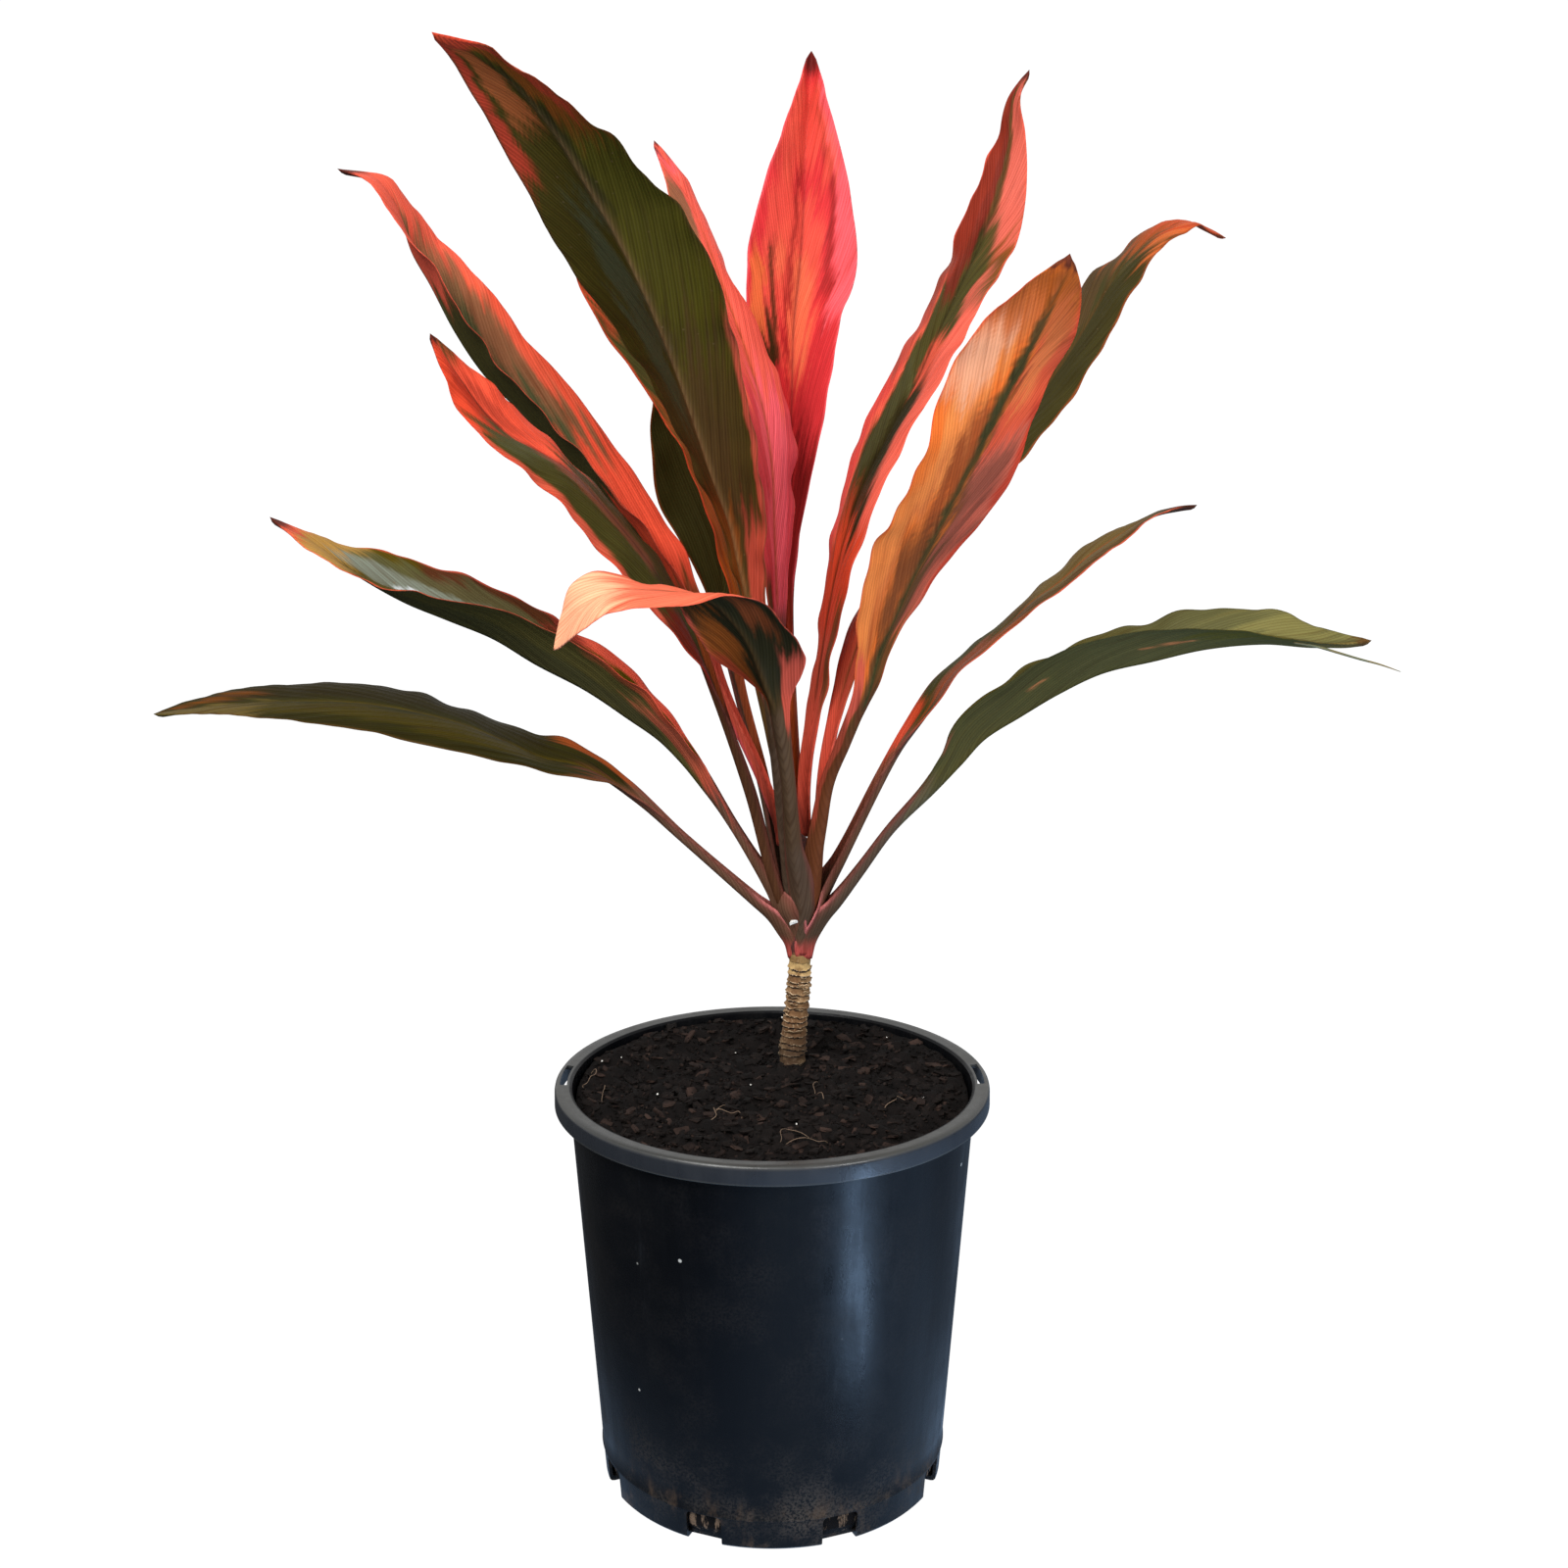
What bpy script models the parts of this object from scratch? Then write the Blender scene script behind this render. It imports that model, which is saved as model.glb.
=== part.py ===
"""Ti plant (Cordyline) in a black nursery pot.

The origin is the middle of the pot's underside, +Z is up, and -Y faces the viewer.
Sizes below are in millimetres and degrees; meshes are written in metres by MM.
"""
import math

import bmesh
import bpy
from mathutils import Vector

MM = 0.001
GAP = 0.3

# Pot
POT_HEIGHT = 193.5
POT_SIDES = 64
RIM_RADIUS = 100.0
RIM_BEAD = 1.2
RIM_PLATE = 2.2
SKIRT_DEPTH = 9.0
SKIRT_THICK = 1.5
WALL_TOP_RADIUS = 92.9
FOOT_RADIUS = 79.9
WALL = 1.6
FLOOR = 2.0
NOTCH_COUNT = 8
NOTCH_FIRST = 22.5
NOTCH_WIDTH = 17.0
NOTCH_HEIGHT = 15.0
NOTCH_INNER = 74.0
NOTCH_OUTER = 86.0
SLOT_BEARINGS = (4.0, 177.0)
SLOT_MIDDLE = 95.9
SLOT_WIDTH = 3.2
SLOT_SPAN = 14.5
SLOT_STEPS = 4
CUT_PAST = 1.0

# Soil
SOIL_TOP = 183.0
SOIL_CROWN = 3.5
SOIL_SIDES = 40
SOIL_RINGS = 12
SOIL_LUMP = 1.3
SOIL_LUMP_AT_WALL = 0.3
SOIL_FACET_ROOM = 0.4
CANE_HOLE_ROOM = 0.5

# Cane, with the core that the leaf stalks sit on
CANE_SIDES = 14
CANE_STEP = 4.0
CANE_ROUTE = (
    # x, y, z, radius
    (9.5, 41.0, 124.0, 5.8),
    (9.5, 41.0, 189.0, 5.8),
    (10.0, 40.6, 200.0, 5.7),
    (11.1, 39.8, 212.0, 5.6),
    (12.3, 38.8, 224.0, 5.5),
    (12.8, 38.2, 236.0, 5.5),
    (13.0, 38.0, 242.0, 6.0),
    (13.0, 38.0, 248.0, 7.0),
    (12.8, 38.4, 262.0, 7.3),
    (12.4, 39.2, 276.0, 7.8),
    (12.0, 40.0, 288.0, 8.0),
    (12.0, 40.2, 294.0, 7.2),
    (12.0, 40.3, 298.0, 5.0),
    (12.0, 40.3, 300.0, 2.0),
)
RING_FROM = 190.0
RING_TO = 246.0
RING_PITCH = 8.0
RING_RISE = 0.35

# Leaves. Each thickness is at the seat and from THIN_BY of the length on.
SECTIONS = 25
RIB_THICK = (2.2, 1.2)
HALF_THICK = (1.6, 0.8)
EDGE_THICK = (1.0, 0.7)
ARCH = 0.07
MIDDLE_AT = 0.52
THIN_BY = 0.45
AIM_STEP = 0.002
TURN_FROM = 0.40
TURN_TO = 0.85

# Each leaf: the bearing it leaves the cane on, its bearing at the tip, and its route from seat
# to tip. A route point is x, y, z of the rib, then the half width, and how far the left and the
# right half are lifted from flat, as seen from the cane with the upper face on top.
LEAVES = {
    "leaf_01": (188, 188, (
        (5.0, 36.9, 250, 4.6, 22, 22), (-1, 36, 262, 4.4, 45, 45), (-42, 30, 301, 3.6, 45, 45),
        (-62, 27, 320, 6, 15, 40), (-84, 24, 335, 13, -8, 27), (-105, 21, 341, 19, -6, 24),
        (-121, 19, 349, 23, -11, 6), (-144, 16, 359, 26, -18, 5), (-182, 11, 368, 25, -16, 9),
        (-225, 5, 370, 19, -9, 11), (-257, 0, 368, 9, -2, 16), (-273, -2, 366, 1, 0, 10))),
    "leaf_02": (182, 182, (
        (4.4, 40.5, 264, 4.0, 4, 30), (-3, 41.7, 281, 4.2, 34, 40), (-18, 40, 303, 3.8, 45, 45),
        (-29, 38, 320, 6, 48, 44), (-49, 36, 344, 15, 42, 34), (-66, 35, 357, 21, 49, 44),
        (-85, 35, 370, 24, 49, 46), (-107, 34, 382, 26, 49, 45), (-126, 33, 394, 26, 41, 44),
        (-147, 32, 403, 24, 32, 50), (-166, 32, 411, 22, 22, 50), (-186, 31, 423, 18, 8, 38),
        (-203, 30, 436, 12, -6, 10), (-224, 30, 449, 1, 0, 5))),
    "leaf_03": (200, 200, (
        (6.2, 32.4, 262, 4.0, 44, -6), (-1, 30, 284, 4.2, 42, 30), (-11, 29.5, 323, 4.2, 45, 45),
        (-28, 24, 376, 6, -10, 50), (-38, 19, 401, 13, -38, 32), (-53, 14, 429, 22, -42, 20),
        (-76, 6, 460, 24, -41, 14), (-89, 1, 474, 23, -38, 16), (-102, -4, 483, 21, -33, 26),
        (-113, -8, 490, 20, -30, 40), (-122, -11, 499, 16, -34, 50),
        (-131, -14, 513, 11, -44, 48), (-142, -19, 532, 1, -40, 40))),
    "leaf_04": (165, 165, (
        (4.0, 41.2, 294, 3.8, 28, 14), (2.2, 42, 305, 4.0, 40, 34),
        (-7, 46, 328, 4.2, 50, 50), (-24, 50, 364, 5, 50, 55), (-38, 52, 397, 9, 50, 58),
        (-49, 55, 417, 14, 46, 54), (-62, 58, 436, 18, 36, 38), (-80, 63, 457, 23, 31, 34),
        (-98, 68, 475, 25, 33, 42), (-116, 73, 493, 26, 33, 53), (-132, 77, 509, 25, 37, 58),
        (-145, 80, 528, 25, 36, 56), (-156, 83, 549, 21, 34, 44), (-164, 85, 563, 19, 28, 27),
        (-170, 87, 581, 14, 4, 12), (-180, 90, 595, 9, -5, 9), (-199, 95, 600, 1, 0, 5))),
    "leaf_05": (242, 242, (
        (8.0, 31.2, 272, 4.2, 20, 24), (6, 24, 294, 4.2, 40, 40), (2, 15, 338, 4.4, 45, 45),
        (-2, 8, 376, 4.6, 40, 40), (-7, 1, 404, 6, 8, 40), (-13, -10, 432, 12, -4, 40),
        (-17, -19, 452, 18, -5, 37), (-24, -32, 474, 23, 0, 35), (-31, -45, 498, 26, 4, 30),
        (-38, -58, 521, 27, 14, 19), (-47, -76, 547, 29, 22, 6), (-58, -95, 573, 28, 22, -6),
        (-67, -113, 591, 24, 10, -14), (-76, -129, 608, 22, 0, -19),
        (-85, -146, 621, 18, -10, -22), (-93, -161, 629, 14, -12, -20),
        (-101, -176, 635, 9, 0, -12), (-111, -195, 639, 1, 0, -8))),
    "leaf_06": (115, 115, (
        (8.7, 47.5, 294, 3.6, 22, 22), (6, 50.5, 307, 3.8, 30, 24), (3, 52, 322, 4.0, 36, 24),
        (1, 53, 349, 4.2, 40, 10), (3, 54, 386, 5, 36, -25), (2, 55, 413, 10, 38, -34),
        (1, 59, 439, 17, 37, -36), (0, 64, 466, 21, 37, -35), (-4, 71, 492, 22, 36, -30),
        (-12, 82, 518, 22, 34, -34),
        (-20, 95, 539, 21, 32, -34), (-28, 110, 560, 18, 24, -46), (-37, 126, 581, 14, 18, -42),
        (-47, 140, 599, 8, 24, -30), (-57, 152, 614, 1, 20, -20))),
    "leaf_07": (205, 200, (
        (6.1, 33.0, 287, 3.8, 48, 0), (5, 31.5, 316, 4.0, 40, 40), (-1, 31.5, 349, 4.0, 30, 40),
        (-7, 31, 377, 5, -20, 38), (-13, 28, 408, 13, -36, 36), (-19, 26, 435, 19, -35, 36),
        (-26, 24, 462, 21, -35, 36), (-32, 21, 483, 22, -38, 38), (-45, 17, 509, 21, -41, 44),
        (-58, 12, 532, 19, -50, 50), (-69, 8, 553, 17, -62, 50), (-78, 5, 571, 12, -62, 46),
        (-88, 1, 589, 1, -50, 40))),
    "leaf_08": (140, 140, (
        (7.0, 45.5, 270, 4.0, 12, 28), (2, 50.5, 286, 4.0, 36, 42), (-5, 55, 320, 4.2, 45, 45),
        (-17, 65, 366, 4.2, 20, 45), (-22, 74, 397, 6, -20, 25), (-24, 79, 417, 13, -20, 16),
        (-27, 84, 438, 21, -26, 2), (-30, 86, 454, 26, -26, -6), (-35, 88, 476, 26, -15, -5),
        (-41, 91, 500, 25, 5, -3), (-49, 96, 522, 23, 8, -2), (-58, 103, 544, 18, 0, 0),
        (-68, 111, 562, 11, -12, 5), (-76, 118, 577, 1, -10, 5))),
    "leaf_09": (88, 88, (
        (12.6, 48.0, 276, 4.0, 22, 22), (12.0, 55, 294, 4.0, 35, 35), (8, 75, 363, 4.2, 50, 50),
        (7, 90, 398, 6, 60, 66), (7, 101, 424, 13, 60, 64), (7, 112, 451, 21, 57, 57),
        (9, 126, 487, 27, 48, 50), (10, 142, 526, 28, 39, 34), (13, 155, 555, 29, 32, 14),
        (15, 168, 585, 24, 34, 12), (16, 180, 612, 18, 50, 24), (18, 191, 637, 10, 58, 40),
        (19, 199, 658, 1, 50, 40))),
    "leaf_10": (55, 55, (
        (15.8, 46.3, 296.4, 3.6, 26, 20), (15.6, 49.5, 320, 4.2, 20, 40), (18, 52, 347, 6, -20, 30),
        (22, 55, 376, 12, -44, 34), (27, 61, 407, 17, -45, 35), (34, 69, 436, 20, -38, 31),
        (42, 79, 457, 21, -32, 28), (54, 93, 479, 22, -18, 28), (67, 110, 500, 22, -13, 25),
        (78, 126, 522, 21, -18, 18), (91, 143, 547, 19, -20, 6), (102, 159, 567, 18, -10, -10),
        (111, 173, 590, 14, 4, -14), (117, 183, 616, 9, -8, 6), (119, 189, 635, 5, -14, 30),
        (127, 197, 649, 1, -10, 20))),
    "leaf_11": (305, 305, (
        (18.0, 31.9, 264, 4.2, 24, 20), (20.5, 27, 284, 4.4, 40, 40), (26, 19, 329, 4.6, 45, 45),
        (33, 9, 350, 4.8, 35, 30), (41, -2, 375, 7, 14, 2), (46, -9, 394, 12, 20, -2),
        (53, -20, 414, 20, 20, 0), (61, -31, 436, 25, 13, 5), (70, -43, 457, 27, 3, 3),
        (79, -56, 480, 26, -5, -2), (88, -69, 501, 25, 6, 16), (96, -80, 521, 24, 5, 32),
        (103, -90, 538, 18, -10, 34), (109, -99, 553, 11, -14, 32), (113, -105, 566, 1, -10, 20))),
    "leaf_12": (35, 35, (
        (21.3, 41.2, 282, 3.8, -4, 42), (22.2, 40.6, 299, 4.0, 16, 40), (24.5, 42, 325, 4.4, 30, 40),
        (29, 45, 352, 6, 5, 22), (36, 50, 377, 10, -2, 14), (47, 58, 403, 17, -14, 19),
        (65, 71, 426, 22, -16, 13), (86, 87, 452, 24, -9, 6), (108, 103, 475, 25, 0, 2),
        (130, 118, 499, 24, 3, 3), (147, 130, 522, 22, -1, 5), (165, 143, 550, 19, -3, 2),
        (176, 150, 562, 16, -10, 1), (188, 157, 571, 13, -4, -5), (203, 166, 576, 9, 6, -14),
        (214, 172, 573, 6, 12, -24), (225, 179, 568, 1, 10, -20))),
    "leaf_13": (15, 15, (
        (21.0, 39.6, 261, 4.2, 16, 26), (27, 41.5, 274, 4.4, 45, 45), (50, 48, 322, 4.2, 45, 45),
        (60, 51, 340, 5, 30, 20), (72, 54, 355, 10, 18, 14), (83, 57, 371, 16, -4, 15),
        (97, 60, 383, 19, -9, 17), (111, 64, 395, 20, -13, 14), (122, 67, 405, 20, -14, 11),
        (134, 70, 413, 19, -8, 10), (147, 74, 424, 18, -4, 8), (161, 78, 433, 15, -4, 8),
        (177, 82, 442, 11, -12, 13), (190, 85, 446, 6, -8, 14), (200, 88, 447, 1, 0, 10))),
    "leaf_14": (-8, -8, (
        (21.0, 36.9, 250, 4.6, 22, 22), (27, 36, 262, 4.4, 45, 45), (55, 32, 304, 3.6, 50, 50),
        (73, 30, 323, 6, 58, 56), (85, 28, 336, 11, 56, 62), (96, 26, 349, 17, 54, 62),
        (112, 24, 360, 21, 42, 54), (129, 22, 371, 24, 36, 51), (148, 19, 381, 25, 30, 46),
        (170, 16, 387, 24, 36, 44), (193, 13, 393, 22, 42, 34), (218, 9, 396, 18, 46, 22),
        (241, 6, 395, 11, 48, 18), (264, 3, 398, 1, 30, 10))),
    "leaf_15": (262, 188, (
        (12.0, 30.0, 252, 4.4, 22, 22), (10.4, 20, 281, 4.4, 40, 40), (7, 1, 333, 4.2, 45, 45),
        (4.2, -7, 356, 5, 40, 46), (1.5, -12, 370, 7.5, 32, 56), (-2, -16, 380, 15, 20, 34),
        (-5, -21, 390, 20.5, 20, 6), (-8, -28, 400, 21, 18, -12), (-12, -36, 409, 20.5, 24, -24),
        (-17.5, -44, 417.5, 20, 27, -30), (-23, -51, 424, 19.5, 23, -22),
        (-29.5, -57, 428, 19, 14, -9), (-39, -63, 430.5, 18.5, -3, -3),
        (-50, -67, 432, 17.5, -17, 0), (-60, -69, 432.5, 16.5, -19, 13),
        (-69, -70, 430, 15, -19, 34), (-78, -70, 423, 11, -26, 44), (-89, -68, 407, 1, -18, 30))),
}

# Colours, as linear red, green and blue
POT_BLACK = (0.013, 0.015, 0.019)
SOIL_BROWN = (0.022, 0.013, 0.008)
CANE_TAN = (0.25, 0.15, 0.08)
LEAF_GREEN = (0.045, 0.055, 0.018)
LEAF_RED = (0.45, 0.045, 0.02)
RED_LEAVES = ("leaf_06", "leaf_07", "leaf_09", "leaf_11", "leaf_15")


def clear_scene():
    for thing in list(bpy.data.objects):
        bpy.data.objects.remove(thing, do_unlink=True)


def material(name, colour, roughness):
    paint = bpy.data.materials.new(name)
    paint.use_nodes = True
    shader = paint.node_tree.nodes["Principled BSDF"]
    shader.inputs["Base Color"].default_value = (*colour, 1.0)
    shader.inputs["Roughness"].default_value = roughness
    return paint


def place(name, points, faces, paint):
    """Makes the named object from points in millimetres."""
    mesh = bpy.data.meshes.new(name)
    mesh.from_pydata([tuple(c * MM for c in point) for point in points], [], faces)
    mesh.validate()
    mesh.materials.append(paint)
    piece = bpy.data.objects.new(name, mesh)
    bpy.context.scene.collection.objects.link(piece)
    return piece


def tidy_normals(piece):
    """Welds doubles and turns every face outwards."""
    work = bmesh.new()
    work.from_mesh(piece.data)
    bmesh.ops.remove_doubles(work, verts=work.verts, dist=0.001 * MM)
    bmesh.ops.recalc_face_normals(work, faces=work.faces)
    work.to_mesh(piece.data)
    work.free()


def turned(name, profile, sides, paint):
    """Spins a closed profile of radius and height about the Z axis."""
    work = bmesh.new()
    ring = [work.verts.new((radius * MM, 0.0, height * MM)) for radius, height in profile]
    edges = [work.edges.new((a, b)) for a, b in zip(ring, ring[1:])]
    bmesh.ops.spin(work, geom=ring + edges, cent=(0, 0, 0), axis=(0, 0, 1),
                   angle=math.tau, steps=sides, use_merge=True)
    bmesh.ops.remove_doubles(work, verts=work.verts, dist=0.01 * MM)
    bmesh.ops.recalc_face_normals(work, faces=work.faces)
    mesh = bpy.data.meshes.new(name)
    work.to_mesh(mesh)
    work.free()
    mesh.materials.append(paint)
    piece = bpy.data.objects.new(name, mesh)
    bpy.context.scene.collection.objects.link(piece)
    return piece


def cut(piece, cutter):
    """Takes the cutter out of the piece and hides the cutter."""
    cutter.hide_render = True
    cutter.display_type = "WIRE"
    knife = piece.modifiers.new(cutter.name, "BOOLEAN")
    knife.operation = "DIFFERENCE"
    knife.object = cutter


def block(points_below, height):
    """Points and faces of an upright prism over a counterclockwise outline."""
    count = len(points_below)
    low = [(x, y, height[0]) for x, y in points_below]
    high = [(x, y, height[1]) for x, y in points_below]
    faces = [tuple(reversed(range(count))), tuple(range(count, 2 * count))]
    for i in range(count):
        after = (i + 1) % count
        faces.append((i, after, count + after, count + i))
    return low + high, faces


def merged(name, blocks, paint):
    """One object from several separate prisms."""
    points = []
    faces = []
    for block_points, block_faces in blocks:
        start = len(points)
        points += block_points
        faces += [tuple(start + i for i in face) for face in block_faces]
    return place(name, points, faces, paint)


def polar(radius, bearing):
    angle = math.radians(bearing)
    return radius * math.cos(angle), radius * math.sin(angle)


def wall_radius(height):
    """Outer radius of the tapered wall."""
    share = height / (POT_HEIGHT - SKIRT_DEPTH)
    return FOOT_RADIUS + (WALL_TOP_RADIUS - FOOT_RADIUS) * share


def notch_cutters(paint):
    blocks = []
    half = NOTCH_WIDTH / 2
    for i in range(NOTCH_COUNT):
        bearing = math.radians(NOTCH_FIRST + i * 360.0 / NOTCH_COUNT)
        out = Vector((math.cos(bearing), math.sin(bearing)))
        side = Vector((-out.y, out.x))
        corners = ((NOTCH_INNER, -half), (NOTCH_OUTER, -half), (NOTCH_OUTER, half),
                   (NOTCH_INNER, half))
        outline = [tuple(out * a + side * b) for a, b in corners]
        blocks.append(block(outline, (-CUT_PAST, NOTCH_HEIGHT)))
    return merged("notch_cutters", blocks, paint)


def slot_cutters(paint):
    blocks = []
    for middle in SLOT_BEARINGS:
        bearings = [middle + SLOT_SPAN * (i / SLOT_STEPS - 0.5) for i in range(SLOT_STEPS + 1)]
        inner = [polar(SLOT_MIDDLE - SLOT_WIDTH / 2, b) for b in reversed(bearings)]
        outer = [polar(SLOT_MIDDLE + SLOT_WIDTH / 2, b) for b in bearings]
        blocks.append(block(outer + inner,
                            (POT_HEIGHT - RIM_PLATE - CUT_PAST, POT_HEIGHT + CUT_PAST)))
    return merged("slot_cutters", blocks, paint)


def make_pot():
    paint = material("pot", POT_BLACK, 0.45)
    skirt_foot = POT_HEIGHT - SKIRT_DEPTH
    under_plate = POT_HEIGHT - RIM_PLATE
    profile = [
        (0.0, FLOOR), (wall_radius(FLOOR) - WALL, FLOOR),
        (wall_radius(POT_HEIGHT) - WALL, POT_HEIGHT), (RIM_RADIUS - RIM_BEAD, POT_HEIGHT),
        (RIM_RADIUS, POT_HEIGHT - RIM_BEAD), (RIM_RADIUS, skirt_foot),
        (RIM_RADIUS - SKIRT_THICK, skirt_foot), (RIM_RADIUS - SKIRT_THICK, under_plate),
        (wall_radius(under_plate), under_plate), (FOOT_RADIUS, 0.0), (0.0, 0.0),
    ]
    pot = turned("pot", profile, POT_SIDES, paint)
    cut(pot, notch_cutters(paint))
    cut(pot, slot_cutters(paint))


def lump(x, y):
    """Height of the crumbly top, from three waves that never line up."""
    coarse = math.sin(0.19 * x + 0.7) * math.cos(0.23 * y - 0.4)
    middle = math.sin(0.41 * x - 0.33 * y + 1.9)
    fine = math.cos(0.62 * y + 0.37 * x + 0.6)
    return SOIL_LUMP * (0.9 * coarse + 0.6 * middle + 0.5 * fine)


def make_soil():
    paint = material("soil", SOIL_BROWN, 0.95)
    shrink = WALL + GAP + SOIL_FACET_ROOM
    foot = FLOOR + GAP
    edge = wall_radius(SOIL_TOP) - shrink
    points = [(0.0, 0.0, SOIL_TOP + SOIL_CROWN + lump(0.0, 0.0))]
    for ring in range(1, SOIL_RINGS + 1):
        share = ring / SOIL_RINGS
        for i in range(SOIL_SIDES):
            x, y = polar(edge * share, i * 360.0 / SOIL_SIDES)
            rise = SOIL_CROWN * (1.0 - share ** 2) + lump(x, y)
            if ring == SOIL_RINGS:
                rise *= SOIL_LUMP_AT_WALL
            points.append((x, y, SOIL_TOP + rise))
    low = wall_radius(foot) - shrink
    points += [(*polar(low, i * 360.0 / SOIL_SIDES), foot) for i in range(SOIL_SIDES)]
    faces = [(0, 1 + i, 1 + (i + 1) % SOIL_SIDES) for i in range(SOIL_SIDES)]
    for ring in range(SOIL_RINGS):
        inner = 1 + ring * SOIL_SIDES
        outer = inner + SOIL_SIDES
        for i in range(SOIL_SIDES):
            after = (i + 1) % SOIL_SIDES
            faces.append((inner + i, outer + i, outer + after))
            faces.append((inner + i, outer + after, inner + after))
    base = 1 + SOIL_RINGS * SOIL_SIDES
    faces.append(tuple(reversed(range(base, base + SOIL_SIDES))))
    soil = place("soil", points, faces, paint)
    x, y, bottom, radius = CANE_ROUTE[0]
    hole = [(x + a, y + b) for a, b in
            (polar(radius + CANE_HOLE_ROOM, i * 360.0 / CANE_SIDES) for i in range(CANE_SIDES))]
    cut(soil, merged("cane_hole", [block(hole, (bottom - GAP, POT_HEIGHT + CUT_PAST))], paint))


def knots(route):
    """Length along the route at each of its points."""
    lengths = [0.0]
    for a, b in zip(route, route[1:]):
        lengths.append(lengths[-1] + math.dist(a[:3], b[:3]))
    return lengths


def on_route(route, lengths, at):
    """Every value of the route at a length, on a smooth curve through its points."""
    last = len(route) - 2
    i = 0
    while i < last and at > lengths[i + 1]:
        i += 1
    span = lengths[i + 1] - lengths[i]
    t = (at - lengths[i]) / span
    values = []
    for k in range(len(route[0])):
        slopes = []
        for j in (i, i + 1):
            a = max(j - 1, 0)
            b = min(j + 1, len(route) - 1)
            slopes.append((route[b][k] - route[a][k]) / (lengths[b] - lengths[a]))
        values.append((2 * t ** 3 - 3 * t ** 2 + 1) * route[i][k]
                      + (t ** 3 - 2 * t ** 2 + t) * span * slopes[0]
                      + (3 * t ** 2 - 2 * t ** 3) * route[i + 1][k]
                      + (t ** 3 - t ** 2) * span * slopes[1])
    return values


def make_cane():
    paint = material("stem", CANE_TAN, 0.7)
    lengths = knots(CANE_ROUTE)
    buried = lengths[1]
    stations = [0.0, buried / 2]
    steps = round((lengths[-1] - buried) / CANE_STEP)
    stations += [buried + (lengths[-1] - buried) * i / steps for i in range(steps + 1)]
    points = []
    for at in stations:
        x, y, z, radius = on_route(CANE_ROUTE, lengths, at)
        if at < buried:
            x, y, radius = CANE_ROUTE[0][0], CANE_ROUTE[0][1], CANE_ROUTE[0][3]
        if RING_FROM < z < RING_TO:
            radius += RING_RISE * math.cos(math.tau * (z - RING_FROM) / RING_PITCH)
        for i in range(CANE_SIDES):
            a, b = polar(radius, i * 360.0 / CANE_SIDES)
            points.append((x + a, y + b, z))
    faces = [tuple(reversed(range(CANE_SIDES)))]
    for row in range(len(stations) - 1):
        low = row * CANE_SIDES
        for i in range(CANE_SIDES):
            after = (i + 1) % CANE_SIDES
            faces.append((low + i, low + after, low + CANE_SIDES + after))
            faces.append((low + i, low + CANE_SIDES + after, low + CANE_SIDES + i))
    faces.append(tuple(range(len(points) - CANE_SIDES, len(points))))
    place("stem", points, faces, paint)


def ease(share):
    share = min(max(share, 0.0), 1.0)
    return share * share * (3.0 - 2.0 * share)


def leaf_frames(bearings, route):
    """Rib point, side and up directions, half width and lifts at each section."""
    lengths = knots(route)
    frames = []
    for i in range(SECTIONS + 1):
        share = i / SECTIONS
        at = share * lengths[-1]
        x, y, z, half, left, right = on_route(route, lengths, at)
        step = lengths[-1] * AIM_STEP
        ahead = Vector(on_route(route, lengths, min(at + step, lengths[-1]))[:3])
        behind = Vector(on_route(route, lengths, max(at - step, 0.0))[:3])
        along = (ahead - behind).normalized()
        turn = ease((share - TURN_FROM) / (TURN_TO - TURN_FROM))
        bearing = math.radians(bearings[0] + (bearings[1] - bearings[0]) * turn)
        side = Vector((-math.sin(bearing), math.cos(bearing), 0.0))
        up = along.cross(side).normalized()
        side = up.cross(along)
        frames.append((share, Vector((x, y, z)), side, up, half,
                       math.radians(left), math.radians(right)))
    return frames


def leaf_section(share, rib, side, up, half, left, right):
    """Five points across the upper face and the five under them."""

    def mix(pair):
        return pair[0] + (pair[1] - pair[0]) * ease(share / THIN_BY)

    upper = [rib]
    lower = [rib - up * mix(RIB_THICK)]
    for lift, hand in ((left, 1.0), (right, -1.0)):
        out = side * (hand * math.cos(lift)) + up * math.sin(lift)
        normal = up * math.cos(lift) - side * (hand * math.sin(lift))
        middle = rib + out * (MIDDLE_AT * half) + normal * (ARCH * half)
        edge = rib + out * half
        pair_up = [middle, edge]
        pair_low = [middle - normal * mix(HALF_THICK), edge - normal * mix(EDGE_THICK)]
        if hand > 0:
            upper = upper + pair_up
            lower = lower + pair_low
        else:
            upper = list(reversed(pair_up)) + upper
            lower = list(reversed(pair_low)) + lower
    return upper, lower


def make_leaf(name, first, last, route):
    """Lofts one leaf, triangles alike on both faces, and closes its edges and ends."""
    colour = LEAF_RED if name in RED_LEAVES else LEAF_GREEN
    paint = material(name, colour, 0.45)
    points = []
    for frame in leaf_frames((first, last), route):
        upper, lower = leaf_section(*frame)
        points += [tuple(p) for p in upper + lower]
    across = 5
    row = 2 * across
    faces = []
    for i in range(SECTIONS):
        a = i * row
        b = a + row
        for j in range(across - 1):
            faces.append((a + j, b + j, b + j + 1))
            faces.append((a + j, b + j + 1, a + j + 1))
            under_a = a + across + j
            under_b = b + across + j
            faces.append((under_a, under_b + 1, under_b))
            faces.append((under_a, under_a + 1, under_b + 1))
        for near, far in ((0, across), (row - 1, across - 1)):
            faces.append((a + near, a + far, b + far))
            faces.append((a + near, b + far, b + near))
    last_row = SECTIONS * row
    for start, flip in ((0, False), (last_row, True)):
        for j in range(across - 1):
            quad = (start + j, start + j + 1, start + across + j + 1, start + across + j)
            faces.append(tuple(reversed(quad)) if flip else quad)
    piece = place(name, points, faces, paint)
    tidy_normals(piece)


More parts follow.
